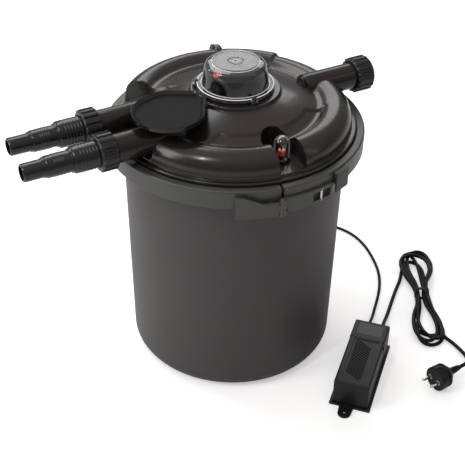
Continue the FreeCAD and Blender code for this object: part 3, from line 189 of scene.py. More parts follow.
class PondFinishSettings(bpy.types.PropertyGroup):
    tub: colour("Tub", "Colour of the matt tub", (0.046, 0.043, 0.042))
    band: colour("Band", "Colour of the satin clamp band", (0.056, 0.057, 0.049))
    lid: colour("Lid", "Colour of the glossy lid and pipes", (0.0145, 0.0105, 0.0090))
    fitting: colour("Fittings", "Colour of the satin black fittings", (0.0105, 0.0103, 0.0102))
    cable: colour("Cable", "Colour of the cables", (0.0035, 0.0035, 0.0036))
    ballast: colour("Ballast", "Colour of the ballast's housing", (0.0085, 0.0083, 0.0088))
    signal: colour("Signal red", "Colour of the float and the signal lens", (0.78, 0.075, 0.035))


# ---------------------------------------------------------------- shapes
def outline(points, steps=6):
    """The points of an outline. A third number rounds that corner with an arc of that radius."""
    result = []
    for index, corner in enumerate(points):
        here = Vector(corner[:2])
        if len(corner) < 3:
            result.append(here)
            continue
        back = (Vector(points[index - 1][:2]) - here).normalized()
        ahead = (Vector(points[(index + 1) % len(points)][:2]) - here).normalized()
        half = back.angle(ahead) / 2
        centre = here + (back + ahead).normalized() * corner[2] / math.sin(half)
        start = here + back * corner[2] / math.tan(half) - centre
        end = here + ahead * corner[2] / math.tan(half) - centre
        opening = start.angle(end)
        for step in range(steps + 1):
            share = step / steps
            arm = start * math.sin((1 - share) * opening) + end * math.sin(share * opening)
            result.append(centre + arm / math.sin(opening))
    return result


def spun(points, steps=96, closed=False, sweep=FULL_TURN):
    """A mesh turned about Z from (radius, height) points, as a full turn or a part of one."""
    mesh = bmesh.new()
    corners = [mesh.verts.new((point[0], 0, point[1])) for point in points]
    sides = [mesh.edges.new(pair) for pair in zip(corners, corners[1:])]
    if closed:
        sides.append(mesh.edges.new((corners[-1], corners[0])))
    bmesh.ops.spin(mesh, geom=corners + sides, cent=(0, 0, 0), axis=(0, 0, 1), angle=sweep, steps=steps,
                   use_merge=sweep == FULL_TURN)
    bmesh.ops.remove_doubles(mesh, verts=mesh.verts[:], dist=0.002 * MM)
    if sweep != FULL_TURN:
        bmesh.ops.holes_fill(mesh, edges=mesh.edges[:], sides=0)
    return mesh


def raised(points, floor, top):
    """A flat outline in the XY plane raised from floor to top."""
    mesh = bmesh.new()
    base = mesh.faces.new([mesh.verts.new((point[0], point[1], floor)) for point in points])
    grown = bmesh.ops.extrude_face_region(mesh, geom=[base])
    lifted = [item for item in grown["geom"] if isinstance(item, bmesh.types.BMVert)]
    bmesh.ops.translate(mesh, vec=(0, 0, top - floor), verts=lifted)
    return mesh


def block(size, centre, round_edge=0.0, segments=3, turn=0.0):
    """A box of that size about its centre, turned about Z, with its edges rounded."""
    mesh = bmesh.new()
    bmesh.ops.create_cube(mesh, size=1)
    bmesh.ops.scale(mesh, vec=size, verts=mesh.verts[:])
    if round_edge:
        round_edges(mesh, mesh.edges[:], round_edge, segments)
    bmesh.ops.transform(mesh, matrix=Matrix.Translation(centre) @ Matrix.Rotation(turn, 4, "Z"),
                        verts=mesh.verts[:])
    return mesh


def round_edges(mesh, edges, radius, segments=3):
    """Rounds these edges of a mesh."""
    bmesh.ops.bevel(mesh, geom=edges, offset=radius, offset_type="OFFSET", segments=segments, profile=0.5,
                    affect="EDGES", clamp_overlap=True, material=-1)


def sharp_edges(mesh, least=35):
    """The edges whose two faces meet at more than this angle."""
    return [edge for edge in mesh.edges
            if len(edge.link_faces) == 2 and edge.calc_face_angle(0) > math.radians(least)]


def joined(*meshes):
    """Several meshes as one."""
    whole = bmesh.new()
    for mesh in meshes:
        part = bpy.data.meshes.new("part")
        mesh.to_mesh(part)
        mesh.free()
        whole.from_mesh(part)
        bpy.data.meshes.remove(part)
    return whole


def moved(mesh, place):
    """The mesh, put in its place."""
    bmesh.ops.transform(mesh, matrix=place, verts=mesh.verts[:])
    return mesh


def upright(bearing, reach, height=0.0):
    """Stands a piece at a bearing and distance from the filter's axis, facing outward."""
    spot = Vector((math.cos(bearing) * reach, math.sin(bearing) * reach, height))
    return Matrix.Translation(spot) @ Matrix.Rotation(bearing, 4, "Z")


def lying(bearing, side=0.0, height=0.0):
    """Lays a turned piece so that its axis points along the bearing, side to the left of it."""
    spot = Vector((-side * math.sin(bearing), side * math.cos(bearing), height))
    return Matrix.Translation(spot) @ Matrix.Rotation(bearing, 4, "Z") @ Matrix.Rotation(math.pi / 2, 4, "Y")


def smooth_step(share):
    """A share from 0 to 1 that leaves and arrives gently."""
    share = min(max(share, 0.0), 1.0)
    return share * share * (3 - 2 * share)


def shade(mesh, sharp=32):
    """Smooth shading that breaks at sharp edges."""
    for face in mesh.faces:
        face.smooth = True
    for edge in mesh.edges:
        edge.smooth = not (len(edge.link_faces) == 2 and edge.calc_face_angle(0) > math.radians(sharp))


def piece(name, mesh, body, finish, stands_for=(), place=None, sharp=32):
    """Turns a finished mesh into an object that rides on a body and stands for CAD nodes."""
    if place is not None:
        bmesh.ops.transform(mesh, matrix=place, verts=mesh.verts[:])
    bmesh.ops.recalc_face_normals(mesh, faces=mesh.faces[:])
    shade(mesh, sharp)
    data = bpy.data.meshes.new(name)
    mesh.to_mesh(data)
    mesh.free()
    data.materials.append(finish)
    thing = bpy.data.objects.new(name, data)
    bpy.context.scene.collection.objects.link(thing)
    thing.modifiers.new("flat_faces", "WEIGHTED_NORMAL").keep_sharp = True
    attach(thing, body)
    if stands_for:
        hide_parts(*stands_for)
    return thing


def carved(mesh, *cutters):
    """The mesh with each cutter's space taken out of it."""
    data = bpy.data.meshes.new("carved")
    mesh.to_mesh(data)
    mesh.free()
    work = bpy.data.objects.new("carved", data)
    bpy.context.scene.collection.objects.link(work)
    tools = []
    for cutter in cutters:
        bmesh.ops.recalc_face_normals(cutter, faces=cutter.faces[:])
        shape = bpy.data.meshes.new("cutter")
        cutter.to_mesh(shape)
        cutter.free()
        tool = bpy.data.objects.new("cutter", shape)
        bpy.context.scene.collection.objects.link(tool)
        cut = work.modifiers.new("cut", "BOOLEAN")
        cut.operation = "DIFFERENCE"
        cut.solver = "EXACT"
        cut.object = tool
        tools.append(tool)
    bpy.context.view_layer.update()
    result = bpy.data.meshes.new_from_object(work.evaluated_get(bpy.context.evaluated_depsgraph_get()))
    whole = bmesh.new()
    whole.from_mesh(result)
    for item in [work] + tools:
        bpy.data.objects.remove(item)
    bpy.data.meshes.remove(result)
    return whole


def softened(name, node, body, finish, edge=0.0):
    """A copy of a CAD node with its triangles merged, its edges rounded and its curves shaded smooth."""
    mesh = bmesh.new()
    mesh.from_mesh(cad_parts[node].data)
    bmesh.ops.remove_doubles(mesh, verts=mesh.verts[:], dist=0.02 * MM)
    bmesh.ops.dissolve_limit(mesh, angle_limit=math.radians(0.7), verts=mesh.verts[:], edges=mesh.edges[:])
    if edge:
        round_edges(mesh, sharp_edges(mesh, 50), edge, 2)
    return piece(name, mesh, body, finish, [node], sharp=38)


# ---------------------------------------------------------------- finishes
def group_socket(group, name, way, kind, default=None):
    """Gives a node group one more input or output."""
    socket = group.interface.new_socket(name=name, in_out=way, socket_type=kind)
    if default is not None:
        socket.default_value = default
    return socket


def skin_group():
    """Moulded plastic: patches of colour and gloss, and a fine grain for the bump."""
    group = bpy.data.node_groups.new("moulded_skin", "ShaderNodeTree")
    group_socket(group, "Colour", "INPUT", "NodeSocketColor")
    group_socket(group, "Patchiness", "INPUT", "NodeSocketFloat", 0.1)
    group_socket(group, "Roughness", "INPUT", "NodeSocketFloat", 0.4)
    group_socket(group, "Gloss change", "INPUT", "NodeSocketFloat", 0.05)
    group_socket(group, "Patch scale", "INPUT", "NodeSocketFloat", 9.0)
    group_socket(group, "Grain scale", "INPUT", "NodeSocketFloat", 900.0)
    group_socket(group, "Colour", "OUTPUT", "NodeSocketColor")
    group_socket(group, "Roughness", "OUTPUT", "NodeSocketFloat")
    group_socket(group, "Height", "OUTPUT", "NodeSocketFloat")
    nodes, links = group.nodes, group.links
    start, end = nodes.new("NodeGroupInput"), nodes.new("NodeGroupOutput")
    place = nodes.new("ShaderNodeTexCoord")
    patch = nodes.new("ShaderNodeTexNoise")
    patch.inputs["Detail"].default_value = 4
    grain = nodes.new("ShaderNodeTexNoise")
    grain.inputs["Detail"].default_value = 2
    for noise_node, scale in ((patch, "Patch scale"), (grain, "Grain scale")):
        links.new(place.outputs["Object"], noise_node.inputs["Vector"])
        links.new(start.outputs[scale], noise_node.inputs["Scale"])
    centred = maths(group, "SUBTRACT", patch.outputs["Fac"], 0.5)
    change = maths(group, "MULTIPLY", centred, start.outputs["Patchiness"])
    level = maths(group, "ADD", maths(group, "MULTIPLY", change, 2.0), 1.0)
    scaled = nodes.new("ShaderNodeVectorMath")
    scaled.operation = "SCALE"
    links.new(start.outputs["Colour"], scaled.inputs[0])
    links.new(level, scaled.inputs["Scale"])
    links.new(scaled.outputs["Vector"], end.inputs["Colour"])
    mixed = maths(group, "ADD", maths(group, "MULTIPLY", centred, 1.4),
                  maths(group, "SUBTRACT", grain.outputs["Fac"], 0.5))
    gloss = maths(group, "ADD", maths(group, "MULTIPLY", mixed, start.outputs["Gloss change"]),
                  start.outputs["Roughness"])
    links.new(gloss, end.inputs["Roughness"])
    links.new(grain.outputs["Fac"], end.inputs["Height"])
    return group


def marks_group():
    """Fine handling marks: thin scratches in two directions, as an extra roughness."""
    group = bpy.data.node_groups.new("handling_marks", "ShaderNodeTree")
    group_socket(group, "Amount", "INPUT", "NodeSocketFloat", 0.1)
    group_socket(group, "Extra roughness", "OUTPUT", "NodeSocketFloat")
    nodes, links = group.nodes, group.links
    start, end = nodes.new("NodeGroupInput"), nodes.new("NodeGroupOutput")
    place = nodes.new("ShaderNodeTexCoord")
    total = None
    for turn, stretch in ((0.5, (900, 22, 60)), (2.1, (25, 700, 60))):
        lines = nodes.new("ShaderNodeMapping")
        lines.inputs["Rotation"].default_value = (0.2, 0.3, turn)
        lines.inputs["Scale"].default_value = stretch
        noise_node = nodes.new("ShaderNodeTexNoise")
        noise_node.inputs["Scale"].default_value = 1.0
        noise_node.inputs["Detail"].default_value = 1
        links.new(place.outputs["Object"], lines.inputs["Vector"])
        links.new(lines.outputs["Vector"], noise_node.inputs["Vector"])
        sharp = nodes.new("ShaderNodeMapRange")
        sharp.inputs["From Min"].default_value = 0.66
        sharp.inputs["From Max"].default_value = 0.76
        links.new(noise_node.outputs["Fac"], sharp.inputs["Value"])
        total = sharp.outputs["Result"] if total is None else maths(group, "ADD", total, sharp.outputs["Result"])
    links.new(maths(group, "MULTIPLY", total, start.outputs["Amount"]), end.inputs["Extra roughness"])
    return group


def maths(tree, operation, first, second):
    """A maths node on two sockets or numbers, and its result."""
    node = tree.nodes.new("ShaderNodeMath")
    node.operation = operation
    for index, item in enumerate((first, second)):
        if isinstance(item, (int, float)):
            node.inputs[index].default_value = item
        else:
            tree.links.new(item, node.inputs[index])
    return node.outputs["Value"]


def blank(name):
    """A new material, its shader and its tree."""
    finish = bpy.data.materials.new(name)
    finish.use_nodes = True
    return finish, finish.node_tree.nodes["Principled BSDF"], finish.node_tree


def bumped(tree, shader, height, strength, distance):
    """Lets a height drive the shader's normal."""
    bump = tree.nodes.new("ShaderNodeBump")
    bump.inputs["Strength"].default_value = strength
    bump.inputs["Distance"].default_value = distance
    tree.links.new(height, bump.inputs["Height"])
    tree.links.new(bump.outputs["Normal"], shader.inputs["Normal"])


def skinned(tree, shader, base, roughness, patchiness=0.1, gloss_change=0.05, patch=9.0, grain=900.0):
    """Adds the moulded skin to a material, drives its colour with it and returns its node."""
    skin = tree.nodes.new("ShaderNodeGroup")
    skin.node_tree = GROUPS["skin"]
    skin.inputs["Colour"].default_value = (*base, 1)
    skin.inputs["Patchiness"].default_value = patchiness
    skin.inputs["Roughness"].default_value = roughness
    skin.inputs["Gloss change"].default_value = gloss_change
    skin.inputs["Patch scale"].default_value = patch
    skin.inputs["Grain scale"].default_value = grain
    tree.links.new(skin.outputs["Colour"], shader.inputs["Base Color"])
    return skin


def moulded(name, base, roughness, patchiness=0.12, gloss_change=0.06, patch=9.0, grain=900.0, bump=0.15,
            marks=0.0, metallic=0.0, coat=0.0, shine=0.5):
    """Plastic, rubber, paint or metal with a moulded or cast skin."""
    finish, shader, tree = blank(name)
    skin = skinned(tree, shader, base, roughness, patchiness, gloss_change, patch, grain)
    rough = skin.outputs["Roughness"]
    if marks:
        scratches = tree.nodes.new("ShaderNodeGroup")
        scratches.node_tree = GROUPS["marks"]
        scratches.inputs["Amount"].default_value = marks
        rough = maths(tree, "ADD", rough, scratches.outputs["Extra roughness"])
    tree.links.new(rough, shader.inputs["Roughness"])
    shader.inputs["Metallic"].default_value = metallic
    shader.inputs["Coat Weight"].default_value = coat
    shader.inputs["Specular IOR Level"].default_value = shine
    shader.inputs["Coat Roughness"].default_value = 0.06
    bumped(tree, shader, skin.outputs["Height"], bump, 0.1 * MM)
    return finish


def clear_plastic(name, tint, roughness, ior=1.49, painted_edge_glow=0.30):
    """Clear polycarbonate or quartz: glassy, with a faint waviness from the mould and a painted glow along the
    edges that turn side-on, standing in for the light they catch.
    """
    finish, shader, tree = blank(name)
    shader.inputs["Base Color"].default_value = (*tint, 1)
    shader.inputs["Transmission Weight"].default_value = 1.0
    shader.inputs["IOR"].default_value = ior
    skin = skinned(tree, shader, tint, roughness, 0.02, 0.008, 40, 160)
    tree.links.new(skin.outputs["Roughness"], shader.inputs["Roughness"])
    bumped(tree, shader, skin.outputs["Height"], 0.02, 0.2 * MM)
    # Painted highlight: an emission that rises where the surface turns side-on, standing in for the bright rims
    # that light gives clear plastic.
    facing = tree.nodes.new("ShaderNodeLayerWeight")
    facing.inputs["Blend"].default_value = 0.5
    edge = tree.nodes.new("ShaderNodeValToRGB")
    face_on, side_on = edge.color_ramp.elements
    face_on.position, face_on.color = 0.70, (0, 0, 0, 1)
    side_on.position, side_on.color = 0.95, (painted_edge_glow, painted_edge_glow, painted_edge_glow, 1)
    tree.links.new(facing.outputs["Facing"], edge.inputs["Fac"])
    tree.links.new(edge.outputs["Color"], shader.inputs["Emission Color"])
    shader.inputs["Emission Strength"].default_value = 1.0
    return finish


def foam(name, base, pores):
    """Open-celled filter foam: dark pores between lighter struts."""
    finish, shader, tree = blank(name)
    place = tree.nodes.new("ShaderNodeTexCoord")
    cells = tree.nodes.new("ShaderNodeTexVoronoi")
    cells.inputs["Scale"].default_value = pores
    tree.links.new(place.outputs["Object"], cells.inputs["Vector"])
    ramp = tree.nodes.new("ShaderNodeValToRGB")
    pore, strut = ramp.color_ramp.elements
    pore.color = (*[part * 0.25 for part in base], 1)
    strut.position, strut.color = 0.55, (*base, 1)
    tree.links.new(cells.outputs["Distance"], ramp.inputs["Fac"])
    tree.links.new(ramp.outputs["Color"], shader.inputs["Base Color"])
    shader.inputs["Roughness"].default_value = 0.95
    bumped(tree, shader, cells.outputs["Distance"], 0.8, 1.5 * MM)
    return finish


def make_finishes(chosen):
    """Every finish, by name."""
    red = tuple(chosen.signal)
    made = {
        "tub": moulded("tub_matt", chosen.tub, 0.50, 0.10, 0.10, 6.0, 700.0, 0.35),
        "band": moulded("band_satin", chosen.band, 0.36, 0.10, 0.10, 7.0, 520.0, 0.30, marks=0.05),
        "lid": moulded("lid_gloss", chosen.lid, 0.24, 0.20, 0.07, 5.0, 60.0, 0.03, marks=0.06, coat=0.12),
        "pipe": moulded("pipe_gloss", chosen.lid, 0.20, 0.15, 0.07, 8.0, 300.0, 0.04, marks=0.06, shine=0.38),
        # The dish floor's satin finish is darker and less reflective than the lever's: painted shade for its
        # recess.
        "dish": moulded("dish_satin_painted_shade", (0.0050, 0.0055, 0.0053), 0.46, 0.15, 0.10, 12.0, 600.0, 0.10, shine=0.06),
        "nut": moulded("nut_matt", chosen.fitting, 0.38, 0.12, 0.10, 14.0, 900.0, 0.30),
        "tail": moulded("tail_gloss", chosen.fitting, 0.20, 0.12, 0.08, 14.0, 500.0, 0.08),
        "latch": moulded("latch_satin", chosen.band, 0.42, 0.10, 0.12, 12.0, 620.0, 0.30, marks=0.06),
        "tongue": moulded("tongue_grey", (0.20, 0.20, 0.18), 0.5, 0.15, 0.10, 20.0, 800.0, 0.2),
        "joint": moulded("joint_dark", (0.026, 0.028, 0.026), 0.45, 0.12, 0.10, 14.0, 700.0, 0.25),
        "steel": moulded("pin_steel", (0.60, 0.60, 0.61), 0.28, 0.10, 0.12, 40.0, 2500.0, 0.08, metallic=1.0),
        "nickel": moulded("pin_nickel", (0.74, 0.72, 0.68), 0.16, 0.06, 0.10, 60.0, 2000.0, 0.05, metallic=1.0),
        "head": moulded("lamp_head_gloss", (0.010, 0.009, 0.009), 0.16, 0.12, 0.05, 20.0, 400.0, 0.04),
        "rubber": moulded("seal_rubber", (0.020, 0.020, 0.021), 0.72, 0.20, 0.08, 25.0, 1200.0, 0.25),
        "inner": moulded("inner_plastic", (0.030, 0.030, 0.031), 0.5, 0.12, 0.08, 12.0, 800.0, 0.2),
        "white": moulded("socket_white", (0.70, 0.69, 0.66), 0.35, 0.05, 0.06, 30.0, 900.0, 0.1),
        "cable": moulded("cable_black", chosen.cable, 0.40, 0.15, 0.10, 30.0, 1500.0, 0.10, shine=0.22),
        "plug": moulded("plug_black", chosen.cable, 0.36, 0.12, 0.10, 30.0, 1300.0, 0.25, shine=0.28),
        "tie": moulded("tie_black", (0.006, 0.006, 0.006), 0.5, 0.15, 0.10, 60.0, 2400.0, 0.5, shine=0.25),
        "label": moulded("blank_label", (0.030, 0.030, 0.031), 0.30, 0.10, 0.08, 40.0, 900.0, 0.05, shine=0.35),
        "ballast": moulded("ballast_black", chosen.ballast, 0.40, 0.12, 0.12, 16.0, 1100.0, 0.35, marks=0.05,
                           shine=0.38),
        "iron": moulded("ballast_iron", (0.20, 0.18, 0.16), 0.55, 0.3, 0.15, 60.0, 1500.0, 0.3, metallic=0.8),
        "red": moulded("float_red", red, 0.22, 0.08, 0.05, 60.0, 900.0, 0.05, coat=0.4),
        "clear": clear_plastic("cover_clear", (0.97, 0.98, 0.98), 0.0),
        "quartz": clear_plastic("quartz_clear", (0.98, 0.98, 0.97), 0.02, 1.46, 0.05),
        # Painted highlight: a pale finish that stands in for the glints on the clear cover's edges.
        "edge": moulded("clear_edge_painted_glint", (0.62, 0.60, 0.61), 0.18, 0.15, 0.08, 60.0, 900.0, 0.05, coat=0.3),
        "coarse": foam("coarse_foam", (0.05, 0.16, 0.36), 260),
        "fine": foam("fine_foam", (0.42, 0.36, 0.10), 520),
    }
    lens, shader, tree = blank("lens_red")
    skin = skinned(tree, shader, red, 0.15, patch=80)
    tree.links.new(skin.outputs["Roughness"], shader.inputs["Roughness"])
    tree.links.new(skin.outputs["Colour"], shader.inputs["Emission Color"])
    shader.inputs["Emission Strength"].default_value = 0.08
    made["lens"] = lens
    # The glint rings glow: painted highlight, not a lamp.
    glint_shader = made["edge"].node_tree.nodes["Principled BSDF"]
    glint_shader.inputs["Emission Color"].default_value = (1, 0.97, 1, 1)
    glint_shader.inputs["Emission Strength"].default_value = 0.38
    return made


GROUPS = {}
FINISHES = {}

NODE_FINISHES = {
    "tub": "tub", "clamp_band": "band", "latch_bracket": "latch", "latch_cross_rod": "steel",
    "latch_pivot_pin": "steel", "latch_lever": "latch", "latch_link_pin": "steel", "latch_link": "latch",
    "band_joint": "joint", "latch_tongue": "tongue", "lid_shell": "lid", "lid_seal": "rubber",
    "valve_housing": "pipe", "inlet_nut": "nut", "outlet_nut": "nut", "inlet_tail": "tail",
    "outlet_tail": "tail", "union_gaskets": "rubber", "waste_pipe": "pipe", "waste_cap": "nut",
    "waste_seal": "rubber", "selector_lever": "pipe", "selector_spindle": "inner", "lamp_collar": "head",
    "lamp_cover": "clear", "cover_screws": "steel", "lamp_head": "head", "lamp_lens": "lens",
    "quartz_sleeve": "quartz", "sleeve_seal": "rubber", "uv_lamp": "quartz", "lamp_socket": "white",
    "gauge_socket": "inner", "gauge_dome": "clear", "gauge_float": "red", "riser_tube": "inner",
    "lower_grid": "inner", "coarse_foam_low": "coarse", "coarse_foam_high": "coarse",
    "fine_foam_low": "fine", "fine_foam_high": "fine", "upper_grid": "inner", "cable_gland": "cable",
    "ballast_housing": "ballast", "ballast_end_cover": "ballast", "ballast_plate": "ballast",
    "ballast_core": "iron", "lamp_gland": "plug", "mains_gland": "plug", "plug_body": "plug",
    "plug_pins": "nickel", "plug_relief": "plug", "lamp_cable": "cable", "mains_lead": "cable",
    "mains_tail": "cable", "mains_hank": "cable", "hank_tie": "tie",
}


class POND_OT_finishes(bpy.types.Operator):
    """Makes every finish and gives each construction piece its own"""
    bl_idname = "pond.finishes"
    bl_label = "Finishes"

    def execute(self, context):
        GROUPS["skin"] = skin_group()
        GROUPS["marks"] = marks_group()
        FINISHES.update(make_finishes(context.scene.pond_finish))
        for node, name in NODE_FINISHES.items():
            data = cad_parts[node]
            if not data.material_slots:
                data.data.materials.append(FINISHES[name])
            for holder in data.material_slots:
                holder.material = FINISHES[name]
        return {"FINISHED"}


# ---------------------------------------------------------------- stage
# Name, place, target, size, the setting that gives the power, and the share of it.
LAMPS = (
    ("overhead_strip", (-0.9, 0.9, 2.0), (0, 0, 0.4), (1.6, 0.9), "overhead_power", 1),
    ("left_panel", (-2.1, -0.9, 1.5), (0, 0, 0.25), (0.8, 1.6), "side_power", 2.2),
    ("right_panel", (2.2, -0.5, 1.4), (0, 0, 0.3), (0.3, 1.6), "side_power", 0.15),
    ("left_rear_glint", (-2.2, 0.9, 1.05), (-0.3, -0.1, 0.42), (0.5, 0.5), "glint_power", 1),
    ("front_glint", (-0.9, -1.15, 2.3), (0, 0, 0.42), (0.10, 0.45), "glint_power", 1.6),
    ("rear_panel", (0.1, 2.2, 1.7), (0, 0, 0.4), (1.8, 0.8), "side_power", 1.2),
)


def area_lamp(name, place, target, size, power):
    """A rectangular lamp that faces its target."""
    lamp = bpy.data.lights.new(name, "AREA")
    lamp.shape = "RECTANGLE"
    lamp.size, lamp.size_y = size
    lamp.energy = power
    holder = bpy.data.objects.new(name, lamp)
    holder.location = place
    holder.rotation_euler = (Vector(target) - Vector(place)).to_track_quat("-Z", "Y").to_euler()
    bpy.context.scene.collection.objects.link(holder)


def studio_world(scene):
    """A soft grey room that is brighter overhead and white to the camera."""
    world = bpy.data.worlds.new("studio")
    world.use_nodes = True
    tree = world.node_tree
    back = tree.nodes["Background"]
    path = tree.nodes.new("ShaderNodeLightPath")
    place = tree.nodes.new("ShaderNodeTexCoord")
    parts = tree.nodes.new("ShaderNodeSeparateXYZ")
    tree.links.new(place.outputs["Generated"], parts.inputs["Vector"])
    ramp = tree.nodes.new("ShaderNodeValToRGB")
    stops = ramp.color_ramp.elements
    stops[0].position, stops[0].color = 0.0, (0.20, 0.20, 0.21, 1)
    stops[1].position, stops[1].color = 1.0, (0.66, 0.63, 0.62, 1)
    stops.new(0.55).color = (0.38, 0.355, 0.345, 1)
    tree.links.new(parts.outputs["Z"], ramp.inputs["Fac"])
    mix = tree.nodes.new("ShaderNodeMix")
    mix.data_type = "RGBA"
    tree.links.new(path.outputs["Is Camera Ray"], mix.inputs["Factor"])
    tree.links.new(ramp.outputs["Color"], mix.inputs[6])
    mix.inputs[7].default_value = (1, 1, 1, 1)
    tree.links.new(mix.outputs[2], back.inputs["Color"])
    scene.world = world


class POND_OT_stage(bpy.types.Operator):
    """Sets up the camera, the pale floor and the soft studio light"""
    bl_idname = "pond.stage"
    bl_label = "Stage"

    def execute(self, context):
        scene, chosen = context.scene, context.scene.pond_stage
        camera = bpy.data.cameras.new("camera")
        camera.lens = chosen.lens
        camera.sensor_width = 36
        camera.clip_end = 50
        holder = bpy.data.objects.new("camera", camera)
        facing = (Matrix.Rotation(chosen.camera_turn, 4, "Z")
                  @ Matrix.Rotation(math.pi / 2 - chosen.camera_tilt, 4, "X")
                  @ Matrix.Rotation(chosen.camera_roll, 4, "Z"))
        holder.matrix_world = Matrix.Translation((0, -chosen.camera_distance, chosen.camera_height)) @ facing
        scene.collection.objects.link(holder)
        scene.camera = holder
        scene.view_settings.view_transform = "Standard"

        mesh = bmesh.new()
        bmesh.ops.create_grid(mesh, x_segments=2, y_segments=2, size=6)
        data = bpy.data.meshes.new("floor")
        mesh.to_mesh(data)
        mesh.free()
        floor = bpy.data.objects.new("floor", data)
        scene.collection.objects.link(floor)
        finish, shader, tree = blank("floor_pale")
        shader.inputs["Base Color"].default_value = (*chosen.floor_colour, 1)
        shader.inputs["Roughness"].default_value = 0.9
        shader.inputs["Specular IOR Level"].default_value = 0.1
        shader.inputs["Emission Color"].default_value = (1, 1, 1, 1)
        path = tree.nodes.new("ShaderNodeLightPath")
        tree.links.new(maths(tree, "MULTIPLY", path.outputs["Is Camera Ray"], 0.42),
                       shader.inputs["Emission Strength"])
        data.materials.append(finish)

        studio_world(scene)
        for name, place, target, size, power, share in LAMPS:
            area_lamp(name, place, target, size, getattr(chosen, power) * share)
        return {"FINISHED"}


# ---------------------------------------------------------------- cords
# Routes are in millimetres. The hank's turns are (share of its length, half width, skew, height over the floor).
LAMP_ROUTE = [
    (-35.1, 180.7, 456.5), (-37.2, 191.5, 453), (-40, 205, 450), (-43, 220, 442), (-45, 231, 422), (-40, 238, 384),
    (-30, 243, 335), (-17, 249, 284), (0, 256, 232), (20, 264, 182), (44, 275, 132), (72, 287, 86),
    (104, 299, 46), (140, 307, 18), (178, 309, 2.9), (214, 299, 2.9), (244, 274, 2.9), (264, 238, 2.9),
    (276, 196, 2.9), (283, 154, 2.9), (281, 112, 2.9), (273, 74, 2.9), (264, 42, 3.9), (257, 14, 8),
    (248.1, -17.9, 22), (241.98, -36.95, 22),
]
LEAD_ROUTE = [
    (264.83, -44.30, 22), (270.3, -27.2, 22), (276, -4, 12), (284, 20, 4.0), (293, 48, 3.4),
    (302, 76, 3.4), (311, 102, 3.4), (321, 127, 4.4),
]
TAIL_ROUTE = [
    (367, 50, 10), (372.5, 20, 6.5), (375, -8, 4.4), (379, -33, 4.4), (391.5, -48.5, 4.4),
    (401.5, -65.5, 5), (408.2, -84, 8), (409.6, -101, 12.5), (406.4, -114, 17.5), (399.87, -124.42, 21.4),
    (388.25, -132.22, 21.4),
]
HANK_TURNS = [(0.78, 20.0, -9.0, 3.6), (1.00, 31.0, 4.0, 3.6), (0.90, 13.0, -13.0, 9.8), (0.97, 23.0, 9.0, 9.6),
              (0.83, 28.0, -4.0, 15.6)]
HANK_START, HANK_END, HANK_STEP = 132, -1448, 20
WAIST_PITCH, WAIST_FLOOR, WAIST_LAYER = 6.7, 5.7, 6.3


def hank_points(chosen):
    """The tied hank's turns: loose loops of several sizes that draw together at the waist."""
    spots = []
    for degrees in range(HANK_START, HANK_END, -HANK_STEP):
        turned = (HANK_START - degrees) / 360
        index = min(int(turned), len(HANK_TURNS) - 2)
        share = smooth_step((turned - index - 0.55) / 0.4)
        long, wide, skew, rest = [a + (b - a) * share for a, b in zip(HANK_TURNS[index], HANK_TURNS[index + 1])]
        swing = math.radians(degrees)
        spread = math.sqrt(math.sin(swing) ** 2 + 0.01)
        crossing = round(degrees / 180)
        column = 1 - (-crossing // 2) % 2 if crossing % 2 == 0 else -1
        row = (-crossing // 2) % 3
        drawn = max(0.0, 1 - abs(math.sin(swing)) / 0.55) ** 1.5
        x = (2 * wide * math.cos(swing) * spread * (1 - drawn) + skew * math.sin(swing)
             + column * WAIST_PITCH * drawn)
        z = rest * (1 - drawn) + (WAIST_FLOOR + row * WAIST_LAYER) * drawn
        y = long * chosen.hank_half / MM * math.sin(swing)
        spots.append((chosen.hank_x / MM + x, chosen.hank_y / MM + y, z))
    return spots


def laid_cord(name, route, diameter, stands_for):
    """A round cable along a smooth line through the route, in millimetres."""
    curve = bpy.data.curves.new(name, "CURVE")
    curve.dimensions = "3D"
    line = curve.splines.new("NURBS")
    line.points.add(len(route) - 1)
    for point, spot in zip(line.points, route):
        point.co = (spot[0] * MM, spot[1] * MM, spot[2] * MM, 1)
    line.order_u = 3
    line.use_endpoint_u = True
    curve.resolution_u = 10
    curve.bevel_depth = diameter / 2
    curve.bevel_resolution = 5
    curve.use_fill_caps = True
    curve.materials.append(FINISHES["cable"])
    cable = bpy.data.objects.new(name, curve)
    bpy.context.scene.collection.objects.link(cable)
    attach(cable, "filter")
    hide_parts(*stands_for)
    return cable


def band_loop(width, height, long, thickness, steps=6):
    """A flat band bent round a bundle: a rounded ring in the XZ plane, long in Y."""
    bend = 5 * MM
    outer = outline([(width / 2, height / 2, bend), (-width / 2, height / 2, bend),
                     (-width / 2, -height / 2, bend), (width / 2, -height / 2, bend)], steps)
    mesh = raised(outer, -long / 2, long / 2)
    ends = [face for face in mesh.faces if len(face.verts) > 4]
    bmesh.ops.inset_region(mesh, faces=ends, thickness=thickness, use_even_offset=True)
    bmesh.ops.delete(mesh, geom=[face for face in mesh.faces if len(face.verts) > 4], context="FACES")
    loops = [edge for edge in mesh.edges if edge.is_boundary]
    bmesh.ops.bridge_loops(mesh, edges=loops)
    round_edges(mesh, sharp_edges(mesh, 50), 0.4 * MM, 2)
    bmesh.ops.rotate(mesh, cent=(0, 0, 0), matrix=Matrix.Rotation(math.pi / 2, 3, "X"), verts=mesh.verts[:])
    return mesh


